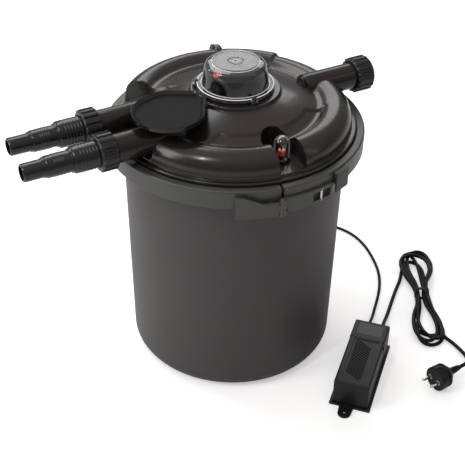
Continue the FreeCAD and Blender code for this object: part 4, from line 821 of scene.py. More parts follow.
def plug_parts(chosen):
    """The round plug with its two pins and ribbed strain relief, modelled along Z behind its face."""
    face = chosen.plug_radius * 1.13
    body = spun(outline([(0, 0.4 * MM), (face - 3 * MM, 0.4 * MM), (face - 2.4 * MM, -0.2 * MM),
                         (face, -0.2 * MM, 1.2 * MM), (face, 13 * MM, 2 * MM), (face - 2.2 * MM, 14.5 * MM),
                         (face - 2.2 * MM, 17 * MM, 1 * MM), (face - 0.2 * MM, 18 * MM, 0.8 * MM),
                         (face - 0.6 * MM, 21 * MM, 1.5 * MM), (face - 7 * MM, 27 * MM, 4 * MM),
                         (face - 9 * MM, 30 * MM), (0, 30 * MM)], 4), 64)
    pin_radius, pin_tip, pin_root, offset = 2.4 * MM, -19 * MM, 1.6 * MM, 9.5 * MM
    recesses = []
    for side in (1, -1):
        cup = spun([(0, -1 * MM), (3.6 * MM, -1 * MM), (3.6 * MM, pin_root), (0, pin_root)], 32)
        recesses.append(moved(cup, Matrix.Translation((0, side * offset, 0))))
        notch = block((7 * MM, 5 * MM, 14 * MM), (side * (face + 1.2 * MM), 0, 4 * MM), 1 * MM, 2)
        recesses.append(notch)
    body = carved(body, *recesses)
    pins = []
    for side in (1, -1):
        pin = spun(outline([(0, pin_tip), (pin_radius, pin_tip, 1.6 * MM), (pin_radius, pin_root),
                            (0, pin_root)], 5), 24)
        clip = spun([(3.1 * MM, -1.4 * MM), (4.1 * MM, -1.4 * MM), (4.1 * MM, 0.6 * MM), (3.1 * MM, 0.6 * MM)], 32,
                    closed=True)
        pins.append(moved(joined(pin, clip), Matrix.Translation((0, side * offset, 0))))
    start, long, ribs, thick = 29.5 * MM, 25.5 * MM, 5, 7.5 * MM
    section = [(0, start)]
    for index in range(ribs):
        for share, dip in ((0.0, 0.0), (0.55, 0.0), (0.65, 0.9 * MM), (0.9, 0.9 * MM)):
            along = (index + share) / ribs
            radius = thick + (chosen.mains_cable / 2 + 1.2 * MM - thick) * along - dip
            section.append((radius, start + long * along))
    section += [(chosen.mains_cable / 2 + 1.0 * MM, start + long), (0, start + long)]
    relief = spun(section, 40)
    return body, joined(*pins), relief


def plug_spot(chosen):
    """The middle of the plug's face, from its body's box."""
    low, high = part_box("plug_body")
    away = Vector((math.cos(chosen.plug_bearing), math.sin(chosen.plug_bearing), 0))
    across = chosen.plug_radius * Vector((abs(away.y), abs(away.x), 0))
    return Vector((low.x + across.x, low.y + across.y, (low.z + high.z) / 2 + 2.2 * MM))


class POND_OT_cords(bpy.types.Operator):
    """Lays the lamp cable and the mains lead, and makes the hank's tie and the plug"""
    bl_idname = "pond.cords"
    bl_label = "Cords"

    def execute(self, context):
        chosen = context.scene.pond_cord
        lamp = laid_cord("lamp_flex", LAMP_ROUTE, chosen.lamp_cable, ["lamp_cable"])
        route = LEAD_ROUTE + hank_points(chosen) + TAIL_ROUTE
        mains = laid_cord("mains_flex", route, chosen.mains_cable, ["mains_lead", "mains_hank", "mains_tail"])

        facing = (Matrix.Translation(plug_spot(chosen)) @ Matrix.Rotation(chosen.plug_bearing, 4, "Z")
                  @ Matrix.Rotation(math.pi / 2, 4, "Y"))
        body, pins, relief = plug_parts(chosen)
        plug = piece("plug_shell", body, "filter", FINISHES["plug"], ["plug_body"], facing)
        blades = piece("plug_blades", pins, "filter", FINISHES["nickel"], ["plug_pins"], facing)
        boot = piece("plug_boot", relief, "filter", FINISHES["plug"], ["plug_relief"], facing)

        low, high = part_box("hank_tie")
        size = high - low
        band = band_loop(size.x * 0.86, size.z, size.y * 0.5, 1.2 * MM)
        tie = piece("tie_band", band, "filter", FINISHES["tie"], ["hank_tie"],
                    Matrix.Translation((low + high) / 2))
        return {"FINISHED"}


# ---------------------------------------------------------------- tub and clamp band
class POND_OT_casing(bpy.types.Operator):
    """Builds the tub and the clamp band with its latch"""
    bl_idname = "pond.casing"
    bl_label = "Tub and clamp"

    def execute(self, context):
        chosen = context.scene.pond_casing
        rim = chosen.band_radius - chosen.band_wall - 0.5 * MM
        rim_low, rim_high = BAND_LOW + chosen.band_wall, BAND_LOW + chosen.band_wall + 8 * MM
        base, corner, wall = chosen.tub_base, chosen.tub_corner, chosen.tub_wall
        section = outline([(0, 0), (base - corner * 1.6, 0), (base - 0.1 * MM, 0, corner * 0.98),
                           (chosen.tub_top, rim_low), (rim, rim_low), (rim, rim_high),
                           (chosen.tub_top - wall, rim_high), (base - wall, wall, corner - wall), (0, wall)], 12)
        tub = spun(section, 192)
        for share in (0.2, 0.4, 0.6, 0.8):
            bmesh.ops.bisect_plane(tub, geom=tub.verts[:] + tub.edges[:] + tub.faces[:],
                                   plane_co=(0, 0, rim_low * share), plane_no=(0, 0, 1))
        piece("tub_skin", tub, "filter", FINISHES["tub"], ["tub"])

        outer, lip = chosen.band_radius, chosen.band_radius - chosen.band_lip
        inner, foot, under_rim = outer - chosen.band_wall, chosen.tub_top + 8 * MM, rim_low - 0.1 * MM
        ring = outline([(outer, BAND_LOW, 1.2 * MM), (outer, BAND_HIGH, 3.0 * MM), (lip, BAND_HIGH, 1.6 * MM),
                        (lip, RIM_HIGH, 0.6 * MM), (inner, RIM_HIGH), (inner, under_rim), (foot, under_rim),
                        (foot, BAND_LOW, 1.0 * MM)], 6)
        gap = math.radians(1.2)
        band = spun(ring, 240, closed=True, sweep=FULL_TURN - gap)
        turn = Matrix.Rotation(chosen.latch_bearing + gap, 4, "Z")
        bmesh.ops.transform(band, matrix=turn, verts=band.verts[:])
        bearing, height = chosen.latch_bearing - math.radians(16.1), 4.8 * MM
        catches = []
        for floor in (-9.5 * MM, 5.7 * MM):
            spot = upright(bearing, outer + 1.4 * MM, BAND_LOW + floor + height / 2)
            catches.append(moved(block((5.2 * MM, 5.6 * MM, height), (0, 0, 0), 0.8 * MM, 2), spot))
        root = moved(block((4 * MM, 5.6 * MM, 20 * MM), (0, 0, 0), 0.8 * MM, 2),
                     upright(bearing, outer - 1.5 * MM, BAND_LOW + 0.5 * MM))
        piece("band_ring", joined(band, root, *catches), "filter", FINISHES["band"], ["clamp_band"])

        for node, body, finish, slot, edge in (
                ("latch_bracket", "filter", "latch", "band_grey", 0.5 * MM),
                ("latch_cross_rod", "filter", "steel", "steel", 0.3 * MM),
                ("latch_pivot_pin", "filter", "steel", "steel", 0.3 * MM),
                ("latch_lever", "clamp_lever", "latch", "band_grey", 0.5 * MM),
                ("latch_link_pin", "clamp_lever", "steel", "steel", 0.2 * MM),
                ("latch_link", "clamp_link", "latch", "band_grey", 0.3 * MM),
                ("band_joint", "filter", "joint", "band_grey", 1.0 * MM),
                ("latch_tongue", "filter", "tongue", "tongue_grey", 0.4 * MM)):
            softened(node + "_finished", node, body, FINISHES[finish], edge)
        # Painted shade: a thin dark sheet on the band's face behind the latch bracket's window, standing in for
        # the shadow inside the window.
        low, high = BAND_LOW - 5.4 * MM, BAND_LOW + 8.4 * MM
        back, front = outer + 0.05 * MM, outer + 0.3 * MM
        shade_sheet = spun([(back, low), (front, low), (front, high), (back, high)], 12, closed=True,
                     sweep=math.radians(8.8))
        piece("latch_window_painted_shade", shade_sheet, "filter", FINISHES["rubber"],
              place=Matrix.Rotation(chosen.latch_bearing + math.radians(14.4), 4, "Z"))
        return {"FINISHED"}


# ---------------------------------------------------------------- lid
def curve_between(start, control, end, steps):
    """Points of a plain curve that leaves start and reaches end, drawn towards control."""
    return [Vector(start) * (1 - t) ** 2 + Vector(control) * 2 * t * (1 - t) + Vector(end) * t * t
            for t in [step / steps for step in range(steps + 1)]]


def lid_section(chosen, radius, half, rise):
    """The lid's section from the axis to its underside, through a raised ring or, with no rise, without one."""
    floor = RIM_HIGH + 8.8 * MM
    pad_edge = outline([(chosen.pad - 14 * MM, PAD_TOP), (chosen.pad, PAD_TOP, 1.5 * MM),
                        (chosen.pad + 1.4 * MM, PAD_TOP - 6 * MM, 2.5 * MM),
                        (chosen.pad + 12 * MM, PAD_TOP - 9 * MM)], 5)
    section = [Vector((0, PAD_TOP))] + pad_edge[:-1]
    steps = 34
    if rise:
        middle_z = floor + rise - half
        inner = radius - half
        join = max(chosen.valley, inner + 3.5 * MM)
        lift = math.acos((radius - join) / half)
        valley = Vector((join, middle_z + half * math.sin(lift)))
        section += curve_between(section[-1], (0.104, PAD_TOP - 14.5 * MM), valley, 30)[1:]
        seam = len(section) - 1
        for step in range(1, steps + 1):
            swing = math.pi - lift - (math.pi - lift) * step / steps
            section.append(Vector((radius + half * math.cos(swing), middle_z + half * math.sin(swing))))
        side = section[-1]
        section.append(Vector((side.x + 0.05 * MM, (side.y * 2 + floor + 3 * MM) / 3)))
        section.append(Vector((side.x + 0.1 * MM, floor + 3 * MM)))
    else:
        valley = Vector((chosen.valley, floor + 22.5 * MM))
        section += curve_between(section[-1], (0.104, PAD_TOP - 14.5 * MM), valley, 30)[1:]
        seam = len(section) - 1
        edge = Vector((chosen.foot, floor + 4 * MM))
        section += curve_between(valley, (valley + edge) / 2 + Vector((0, 1.5 * MM)), edge, steps)[1:]
        section.append(edge + Vector((0.4 * MM, -0.7 * MM)))
        section.append(edge + Vector((0.6 * MM, -1.4 * MM)))
    # The seam at the dome's end is smoothed.
    for _ in range(10):
        for index in range(seam - 3, seam + 4):
            section[index] = (section[index - 1] + section[index] * 2 + section[index + 1]) / 4
    bead = 191.5 * MM
    rim, rim_floor = 200.3 * MM, RIM_HIGH - 9.6 * MM
    section += outline([(section[-1].x, section[-1].y), (chosen.foot + 1.2 * MM, floor, 1 * MM),
                        (bead, floor, 2.4 * MM), (bead, RIM_HIGH + 0.2 * MM, 0.8 * MM),
                        (rim, RIM_HIGH - 0.1 * MM), (rim, rim_floor), (0, rim_floor)], 5)[1:]
    return section


def ring_shares(chosen, bearing):
    """How much of the main and of the rear ring a bearing has."""
    blur = math.radians(0.9)

    def after(limit):
        return smooth_step(((bearing - limit) / blur + 1) / 2)

    rear = after(chosen.rear_from) - after(chosen.rear_to)
    main = 1 - after(chosen.rear_from) + after(chosen.main_from)
    return main, rear


def step_edge(chosen, bearing):
    """The inner edge of the lowered band on the dome's front, or None where there is none."""
    left, right = math.radians(247), math.radians(355)
    if not left < bearing < right:
        return None
    run_out = smooth_step(min(bearing - left, right - bearing) / math.radians(13))
    return chosen.valley + 2 * MM - 24 * MM * run_out


def slot_cutter(chosen, floor, top):
    """The niche's space: straight sides, a round inner end and an open front."""
    half = chosen.niche_width / 2
    plan = [(80 * MM, -half), (80 * MM, half)]
    steps = 20
    plan += [(-half * math.sin(math.pi * step / steps), half * math.cos(math.pi * step / steps))
             for step in range(steps + 1)]
    return moved(raised(plan, floor, top), upright(chosen.niche_bearing, chosen.niche_reach))


def gland_section(cable):
    """The rounded knob that the lamp cable of this radius leaves the lid through."""
    start, step, knob, tip = 155.5 * MM, 164 * MM, 181 * MM, 184 * MM
    return outline([(0, start), (9 * MM, start, 8 * MM), (9 * MM, step), (9.8 * MM, step + 0.6 * MM),
                    (9.8 * MM, knob, 8 * MM), (cable + 1.2 * MM, knob), (cable + 0.8 * MM, tip), (0, tip)], 6)


class POND_OT_lid(bpy.types.Operator):
    """Builds the domed lid with its raised rings, the lowered band and the gauge's niche"""
    bl_idname = "pond.lid"
    bl_label = "Lid"

    def execute(self, context):
        chosen, fittings = context.scene.pond_lid, context.scene.pond_fitting
        plain = lid_section(chosen, 0, 0, 0)
        main = lid_section(chosen, chosen.ring_radius, chosen.ring_half, chosen.ring_rise)
        rear = lid_section(chosen, chosen.rear_radius, chosen.rear_half, chosen.rear_rise)
        # Each vertex finds its place in the section again by radius and height, to within two micrometres.
        micrometres, index_of = 1e6, {}
        for index, spot in enumerate(main):
            for across in range(-2, 3):
                for along in range(-2, 3):
                    key = (round(spot.x * micrometres) + across, round(spot.y * micrometres) + along)
                    index_of.setdefault(key, index)
        lid = spun(main, 480)
        for vertex in lid.verts:
            reach = math.hypot(vertex.co.x, vertex.co.y)
            index = index_of.get((round(reach * micrometres), round(vertex.co.z * micrometres)))
            if index is None or reach < chosen.pad:
                continue
            bearing = math.atan2(vertex.co.y, vertex.co.x) % FULL_TURN
            main_share, rear_share = ring_shares(chosen, bearing)
            spot = (main[index] * main_share + rear[index] * rear_share
                    + plain[index] * (1 - main_share - rear_share))
            edge = step_edge(chosen, bearing)
            drop = 0.0
            if edge is not None and spot.x < chosen.ring_radius:
                drop = chosen.step_depth * smooth_step((spot.x - edge) / (3.2 * MM))
                drop *= 1 - smooth_step((spot.x - chosen.valley) / (12 * MM))
            vertex.co = (math.cos(bearing) * spot.x, math.sin(bearing) * spot.x, spot.y - drop)
        pocket, low, high = 30.5 * MM, PAD_TOP - 18 * MM, PAD_TOP + 5 * MM
        cutters = [slot_cutter(chosen, GAUGE_FLOOR, PAD_TOP + 20 * MM),
                   spun([(0, low), (pocket, low), (pocket, high), (0, high)], 64)]
        room = fittings.pipe + 0.3 * MM
        start, end = fittings.reach - room, 240 * MM
        for side in (1, -1):
            bore = spun(outline([(0, start), (room, start, fittings.pipe), (room, end), (0, end)], 8), 48)
            cutters.append(moved(bore, lying(fittings.line, side * fittings.offset, fittings.height)))
        piece("lid_skin", carved(lid, *cutters), "filter", FINISHES["lid"], ["lid_shell"], sharp=38)

        gland = spun(gland_section(2.8 * MM), 40)
        piece("gland_skin", gland, "filter", FINISHES["lid"], ["cable_gland"],
              lying(math.radians(101), 0, 459 * MM))
        return {"FINISHED"}


# ---------------------------------------------------------------- pipes, nuts and tails
def pipe_section(radius, bore, start, end, nose):
    """A pipe along its axis, closed by a rounded nose at its start."""
    arc = [(radius * math.sin(t), start - nose * math.cos(t))
           for t in [math.pi / 2 * step / 12 for step in range(13)]]
    return outline(arc + [(radius, end, 0.8 * MM), (bore, end, 0.5 * MM), (bore, end - 60 * MM),
                          (0, end - 60 * MM)], 3)


def ribbed_ring(section, outer, height, ribs, start, end):
    """A turned ring whose outer face carries rounded ribs between two places on its axis."""
    mesh = spun(section, ribs * 12, closed=section[0][0] > 0)
    for vertex in mesh.verts:
        reach = math.hypot(vertex.co.x, vertex.co.y)
        if reach < outer - 0.3 * MM or not start <= vertex.co.z <= end:
            continue
        swing = math.atan2(vertex.co.y, vertex.co.x) * ribs
        swell = smooth_step((math.cos(swing) + 0.35) / 0.75)
        fade = min(1.0, (vertex.co.z - start) / (0.8 * MM), (end - vertex.co.z) / (0.8 * MM))
        scale = (reach + height * swell * max(fade, 0.0)) / reach
        vertex.co.x *= scale
        vertex.co.y *= scale
    return mesh


def nut_section(chosen, start, step, end, lip):
    """A union nut's section: a plain bore round the pipe up to the step, then the narrower lip round the tail."""
    bore, outer = chosen.pipe + 0.35 * MM, chosen.nut
    stops = [start + 1.6 * MM + (end - start - 3.2 * MM) * share for share in (0, 0.04, 0.5, 0.96, 1)]
    wall = [(outer, stop) for stop in stops]
    return outline([(bore, start), (outer - 1.2 * MM, start, 0.4 * MM)] + wall
                   + [(outer - 1.2 * MM, end, 0.6 * MM), (lip, end, 0.6 * MM), (lip, step), (bore, step)], 3)


def tail_section(face, pipe):
    """A stepped hose tail: flange, three hose sizes with rings, collars at the foot of each size, and the bore."""
    # Radius, length and number of rings of each step.
    sizes = [(20.5 * MM, 51 * MM, 6), (16.5 * MM, 41 * MM, 5), (13.75 * MM, 34 * MM, 0)]
    outer = [(18 * MM, face), (pipe, face), (pipe, face + 4 * MM, 0.5 * MM)]
    start = face + 4 * MM
    for order, (radius, long, rings) in enumerate(sizes):
        if order:
            outer += [(radius + 1.5 * MM, start), (radius + 1.5 * MM, start + 2.6 * MM, 0.5 * MM),
                      (radius, start + 3.2 * MM)]
        else:
            outer.append((radius, start))
        pitch = (long - 21 * MM) / 6
        for ring in range(rings):
            at = start + 12 * MM + pitch * (ring + 0.5)
            outer += [(radius, at), (radius + 0.5 * MM, at + 0.5 * MM), (radius + 0.5 * MM, at + 0.9 * MM),
                      (radius, at + 1.4 * MM)]
        start += long
        outer += [(radius, start - 2.6 * MM), (radius - 0.7 * MM, start - 1.2 * MM), (radius - 1.9 * MM, start)]
    tip_bore, middle_bore, foot_bore = 11.2 * MM, 12 * MM, 17.9 * MM
    inner = [(tip_bore, start), (tip_bore, face + 101 * MM), (middle_bore, face + 89 * MM),
             (middle_bore, face + 59 * MM), (foot_bore, face + 47 * MM), (foot_bore, face + 8 * MM)]
    return outline(outer + inner, 3)


class POND_OT_fittings(bpy.types.Operator):
    """Builds the valve's pipes, the union nuts, the hose tails and the waste pipe with its cap"""
    bl_idname = "pond.fittings"
    bl_label = "Pipes and unions"

    def execute(self, context):
        chosen = context.scene.pond_fitting
        pipes = []
        for name, side, end in (("inlet", 1, chosen.inlet_end), ("outlet", -1, chosen.outlet_end)):
            place = lying(chosen.line, side * chosen.offset, chosen.height)
            tube = spun(pipe_section(chosen.pipe, 18 * MM, chosen.reach, end, chosen.pipe), 72)
            pipes.append(moved(tube, place))
            face = end + 2 * MM
            step = face + 4.35 * MM
            start, last = step - 15 * MM, step + 12 * MM
            section = nut_section(chosen, start, step, last, 21 * MM)
            nut = ribbed_ring(section, chosen.nut, chosen.rib, chosen.ribs, start + 1.5 * MM, last - 1.5 * MM)
            piece(name + "_nut_skin", nut, name + "_union_nut", FINISHES["nut"],
                  [name + "_nut"], place, sharp=40)
            tail = spun(tail_section(face, chosen.pipe), 72, closed=True)
            piece(name + "_tail_skin", tail, "filter", FINISHES["tail"], [name + "_tail"], place,
                  sharp=28)
        socket, socket_floor = 8.1 * MM, NECK_TOP - 10.5 * MM
        neck = spun(outline([(0, chosen.height), (NECK_RADIUS, chosen.height), (NECK_RADIUS, NECK_TOP, 0.8 * MM),
                             (socket, NECK_TOP), (socket, socket_floor), (0, socket_floor)], 3), 48)
        pipes.append(moved(neck, Matrix.Translation(selector_axis(chosen))))
        piece("valve_pipes", joined(*pipes), "filter", FINISHES["pipe"], ["valve_housing"])

        place = lying(chosen.line + math.pi, 0, chosen.waste_height)
        pipe = 21.5 * MM
        waste = spun(pipe_section(pipe, 17.5 * MM, 127 * MM, chosen.waste_end, 7 * MM), 72)
        piece("waste_pipe_skin", waste, "filter", FINISHES["pipe"], ["waste_pipe"], place)
        floor = chosen.waste_end + 2 * MM
        start, end = floor - 28 * MM, floor + 4 * MM
        bore, outer, dimple = pipe + 0.35 * MM, chosen.nut, floor + 3 * MM
        stops = [start + 1.4 * MM + 27 * MM * share for share in (0, 0.04, 0.5, 0.96, 1)]
        section = outline([(bore, start), (outer - 0.8 * MM, start, 0.5 * MM)]
                          + [(outer, stop) for stop in stops]
                          + [(outer, floor + 2.2 * MM), (outer - 2 * MM, end, 1.2 * MM),
                             (outer - 6 * MM, end, 0.6 * MM), (outer - 7.5 * MM, dimple, 0.6 * MM),
                             (0, dimple), (0, floor), (bore, floor)], 3)
        cap = ribbed_ring(section + [section[0]], outer, chosen.rib, chosen.ribs, start + 1.2 * MM,
                          floor + 1.5 * MM)
        piece("waste_cap_skin", cap, "waste_screw_cap", FINISHES["nut"], ["waste_cap"], place,
              sharp=40)
        return {"FINISHED"}


def selector_axis(chosen):
    """Where the selector's axis meets the floor."""
    return Matrix.Rotation(chosen.line, 4, "Z") @ Vector((chosen.reach, chosen.offset, 0))


def top_face(mesh):
    """The highest face with more than four corners."""
    return max((face for face in mesh.faces if len(face.verts) > 4),
               key=lambda face: face.calc_center_median().z)


class POND_OT_selector(bpy.types.Operator):
    """Builds the dished selector lever over the valve"""
    bl_idname = "pond.selector"
    bl_label = "Selector"

    def execute(self, context):
        chosen = context.scene.pond_fitting
        radius, shift = 54.5 * MM, Vector((-9 * MM, -1 * MM))

        def round_side(degrees):
            swing = math.radians(degrees)
            return shift + radius * Vector((math.cos(swing), math.sin(swing)))

        plan = outline([(45.2 * MM, 6 * MM), (45 * MM, 61 * MM, 21 * MM), (-25 * MM, 61 * MM, 34 * MM),
                        round_side(130)], 14)
        plan += [round_side(136 + 5 * step) for step in range(46)]
        floor = LEVER_TOP - 8.5 * MM
        dish = raised(plan, floor, LEVER_TOP)
        bmesh.ops.inset_region(dish, faces=[top_face(dish)], thickness=4.2 * MM, use_even_offset=True)
        inside = top_face(dish)
        bmesh.ops.translate(dish, vec=(0, 0, -5.0 * MM), verts=inside.verts[:])
        for inset, drop in ((4 * MM, 0.9 * MM), (5 * MM, 0.6 * MM)):
            bmesh.ops.inset_region(dish, faces=[inside], thickness=inset, use_even_offset=True)
            bmesh.ops.translate(dish, vec=(0, 0, -drop), verts=inside.verts[:])
        round_edges(dish, sharp_edges(dish, 50), 1.3 * MM, 4)
        foot_low, foot_high = NECK_TOP + 0.4 * MM, floor + 0.1 * MM
        foot = spun(outline([(0, foot_low), (NECK_RADIUS, foot_low, 0.6 * MM), (NECK_RADIUS, NECK_TOP + 4 * MM),
                             (34 * MM, foot_high), (0, foot_high)], 3), 64)
        place = Matrix.Translation(selector_axis(chosen))
        lever = piece("selector_dish", joined(dish, foot), "selector", FINISHES["pipe"],
                      ["selector_lever"], place, sharp=40)
        # The dish's floor faces take the darker finish, which paints the recess's shade.
        lever.data.materials.append(FINISHES["dish"])
        for face in lever.data.polygons:
            if face.normal.z > 0.6 and LEVER_TOP - 7 * MM < face.center.z < LEVER_TOP - 3 * MM:
                face.material_index = 1
        return {"FINISHED"}


# ---------------------------------------------------------------- lamp, cover and gauge
def at_lugs(make):
    """One mesh at each of the cover's three screw lugs."""
    first, reach = math.radians(298.5), 61 * MM
    bearings = [first + FULL_TURN / 3 * order for order in range(3)]
    return [moved(make(), Matrix.Translation((math.cos(bearing) * reach, math.sin(bearing) * reach, 0)))
            for bearing in bearings]


def wire_ring(radius, height, thick):
    """A thin round ring."""
    swings = [FULL_TURN * step / 10 for step in range(10)]
    return spun([(radius + thick * math.cos(swing), height + thick * math.sin(swing)) for swing in swings], 128,
                closed=True)


class POND_OT_lamp(bpy.types.Operator):
    """Builds the clear cover over the lamp head, its collar and screws, and the signal lens"""
    bl_idname = "pond.lamp"
    bl_label = "Lamp unit"

    def execute(self, context):
        chosen = context.scene.pond_lamp
        wall, top = chosen.wall, LAMP_TOP
        flange_low = PAD_TOP + 4 * MM
        flange = flange_low + 4 * MM
        cover = spun(outline([(chosen.bowl - wall - 1 * MM, flange_low), (chosen.flange, flange_low, 0.6 * MM),
                              (chosen.flange, flange, 1 * MM), (chosen.bowl, flange, 0.8 * MM),
                              (chosen.shoulder, top - 14 * MM), (chosen.shoulder - 3 * MM, top - 3 * MM, 7 * MM),
                              (chosen.crown, top, 10 * MM), (13 * MM, top), (12.4 * MM, top - 0.8 * MM),
                              (11 * MM, top - 0.8 * MM), (10.4 * MM, top), (2.4 * MM, top),
                              (1.6 * MM, top - 0.6 * MM),
                              (0, top - 0.6 * MM), (0, top - wall), (chosen.crown - 1 * MM, top - wall, 9 * MM),
                              (chosen.shoulder - wall - 3 * MM, top - 4 * MM, 5 * MM),
                              (chosen.shoulder - wall, top - 15 * MM), (chosen.bowl - wall, flange)], 6), 128)
        lug_low, lug_high = flange_low + 0.1 * MM, flange - 0.05 * MM
        lugs = at_lugs(lambda: spun([(0, lug_low), (5.5 * MM, lug_low), (5.5 * MM, flange - 0.6 * MM),
                                     (5 * MM, lug_high), (0, lug_high)], 32))
        piece("cover_skin", joined(cover, *lugs), "filter", FINISHES["clear"], ["lamp_cover"],
              sharp=35)
        # Painted highlights: thin pale rings in a glowing finish at the cover's crown, centre mark and flange,
        # standing in for the glints on its edges.
        rings = [wire_ring(chosen.crown + 3.2 * MM, top - 0.9 * MM, 0.45 * MM),
                 wire_ring(4.0 * MM, top - 0.2 * MM, 0.30 * MM),
                 wire_ring(chosen.flange - 0.2 * MM, flange - 0.2 * MM, 0.75 * MM),
                 wire_ring(chosen.bowl + 0.4 * MM, flange + 0.3 * MM, 0.40 * MM)]
        piece("cover_glint_rings", joined(*rings), "filter", FINISHES["edge"], sharp=60)

        collar = spun(outline([(43 * MM, PAD_TOP), (61 * MM, PAD_TOP, 0.4 * MM), (61 * MM, flange_low, 1 * MM),
                               (43 * MM, flange_low)], 4), 128, closed=True)
        feet = at_lugs(lambda: spun([(0, PAD_TOP), (6 * MM, PAD_TOP), (6 * MM, flange_low - 0.5 * MM),
                                     (5.5 * MM, flange_low), (0, flange_low)], 32))
        piece("collar_skin", joined(collar, *feet), "filter", FINISHES["head"], ["lamp_collar"],
              sharp=35)

        def screw():
            root, crest = PAD_TOP - 7 * MM, flange + 2.4 * MM
            shank = spun(outline([(0, root), (2 * MM, root), (2 * MM, flange), (3.8 * MM, flange),
                                  (3.6 * MM, crest - 0.2 * MM, 1.2 * MM), (0, crest)], 4), 24)
            cross = [block((4.6 * MM, 0.9 * MM, 2 * MM), (0, 0, crest), 0, 1, math.radians(turn))
                     for turn in (20, 110)]
            return carved(shank, *cross)

        piece("cover_screws_skin", joined(*at_lugs(screw)), "filter", FINISHES["joint"], ["cover_screws"])

        tip, plinth, groove = top - 6.5 * MM, 30 * MM, chosen.head - 1.6 * MM
        head = spun(outline([(0, HEAD_FLOOR), (plinth, HEAD_FLOOR), (plinth, PAD_TOP),
                             (chosen.head, PAD_TOP, 1 * MM), (chosen.head, PAD_TOP + 9 * MM, 0.6 * MM),
                             (groove, PAD_TOP + 9.8 * MM), (groove, PAD_TOP + 12 * MM),
                             (chosen.head, PAD_TOP + 12.8 * MM, 0.6 * MM),
                             (chosen.head, PAD_TOP + 28 * MM, 2 * MM), (33 * MM, PAD_TOP + 36 * MM, 1.5 * MM),
                             (31.5 * MM, tip, 0.6 * MM), (24 * MM, tip, 0.5 * MM), (23 * MM, tip - 1.5 * MM),
                             (9 * MM, tip - 1.5 * MM, 0.5 * MM), (8 * MM, tip), (0, tip)], 5), 128)
        piece("head_skin", head, "filter", FINISHES["head"], ["lamp_head"], sharp=30)
        slope = math.atan2(8 * MM, 9 * MM)
        lens = block((6 * MM, 10.5 * MM, 2.8 * MM), (0, 0, 0), 1.1 * MM, 3)
        spot = upright(math.radians(226), 37.6 * MM, PAD_TOP + 32.2 * MM) @ Matrix.Rotation(slope, 4, "Y")
        piece("lens_skin", lens, "filter", FINISHES["lens"], ["lamp_lens"], spot, sharp=35)
        return {"FINISHED"}


class POND_OT_gauge(bpy.types.Operator):
    """Builds the clear flow gauge with its red float"""
    bl_idname = "pond.gauge"
    bl_label = "Flow gauge"

    def execute(self, context):
        spot = Matrix.Translation((GAUGE.x, GAUGE.y, 0))
        base, top = GAUGE_FLOOR + 5 * MM, far_corner("gauge_dome").z
        radius, wall, steps = 11.5 * MM, 1.4 * MM, 14
        centre, bore = top - radius, radius - wall
        quarter = [math.pi / 2 * step / steps for step in range(steps)]
        outside = [(radius * math.cos(swing), centre + radius * math.sin(swing)) for swing in quarter]
        inside = [(bore * math.cos(swing), centre + bore * math.sin(swing)) for swing in quarter[::-1]]
        dome = spun([(radius - 0.4 * MM, base), (radius, base + 0.4 * MM)] + outside + [(0, top), (0, top - wall)]
                    + inside + [(bore, base), (radius - 0.4 * MM, base)], 64)
        piece("gauge_dome_skin", dome, "filter", FINISHES["clear"], ["gauge_dome"], spot)
        root, tray, rod_top = GAUGE_FLOOR - 8 * MM, base - 1 * MM, top - wall - 6 * MM
        foot = spun(outline([(0, root), (7.2 * MM, root), (7.2 * MM, GAUGE_FLOOR),
                             (13 * MM, GAUGE_FLOOR, 0.5 * MM), (13 * MM, base, 1.4 * MM), (8 * MM, base, 0.5 * MM),
                             (7 * MM, tray), (FLOAT_ROD, tray), (FLOAT_ROD, rod_top), (0, rod_top)], 4), 48)
        piece("gauge_socket_skin", foot, "filter", FINISHES["head"], ["gauge_socket"], spot)
        low, high = [corner.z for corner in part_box("gauge_float")]
        hole = FLOAT_ROD + 0.1 * MM
        bob = spun(outline([(hole, low), (6.5 * MM, low, 0.8 * MM), (6.5 * MM, low + (high - low) * 0.45),
                            (5 * MM, high, 1 * MM), (hole, high)], 4), 48, closed=True)
        piece("gauge_float_skin", bob, "flow_float", FINISHES["red"], ["gauge_float"], spot)
        return {"FINISHED"}


# ---------------------------------------------------------------- ballast
def housing_section(width, floor, top, edge):
    """A flat-bottomed section with its upper edges rounded."""
    return outline([(-width / 2, floor), (width / 2, floor), (width / 2, top, edge), (-width / 2, top, edge)], 5)


def long_box(section, start, end):
    """A section in the YZ plane drawn out along X."""
    mesh = raised(section, start, end)
    turn = Matrix(((0, 0, 1), (1, 0, 0), (0, 1, 0)))
    bmesh.ops.transform(mesh, matrix=turn.to_4x4(), verts=mesh.verts[:])
    return mesh


def edges_at(mesh, x):
    """The edges that lie in the plane across the long axis at x."""
    return [edge for edge in mesh.edges if all(abs(vertex.co.x - x) < 0.1 * MM for vertex in edge.verts)]


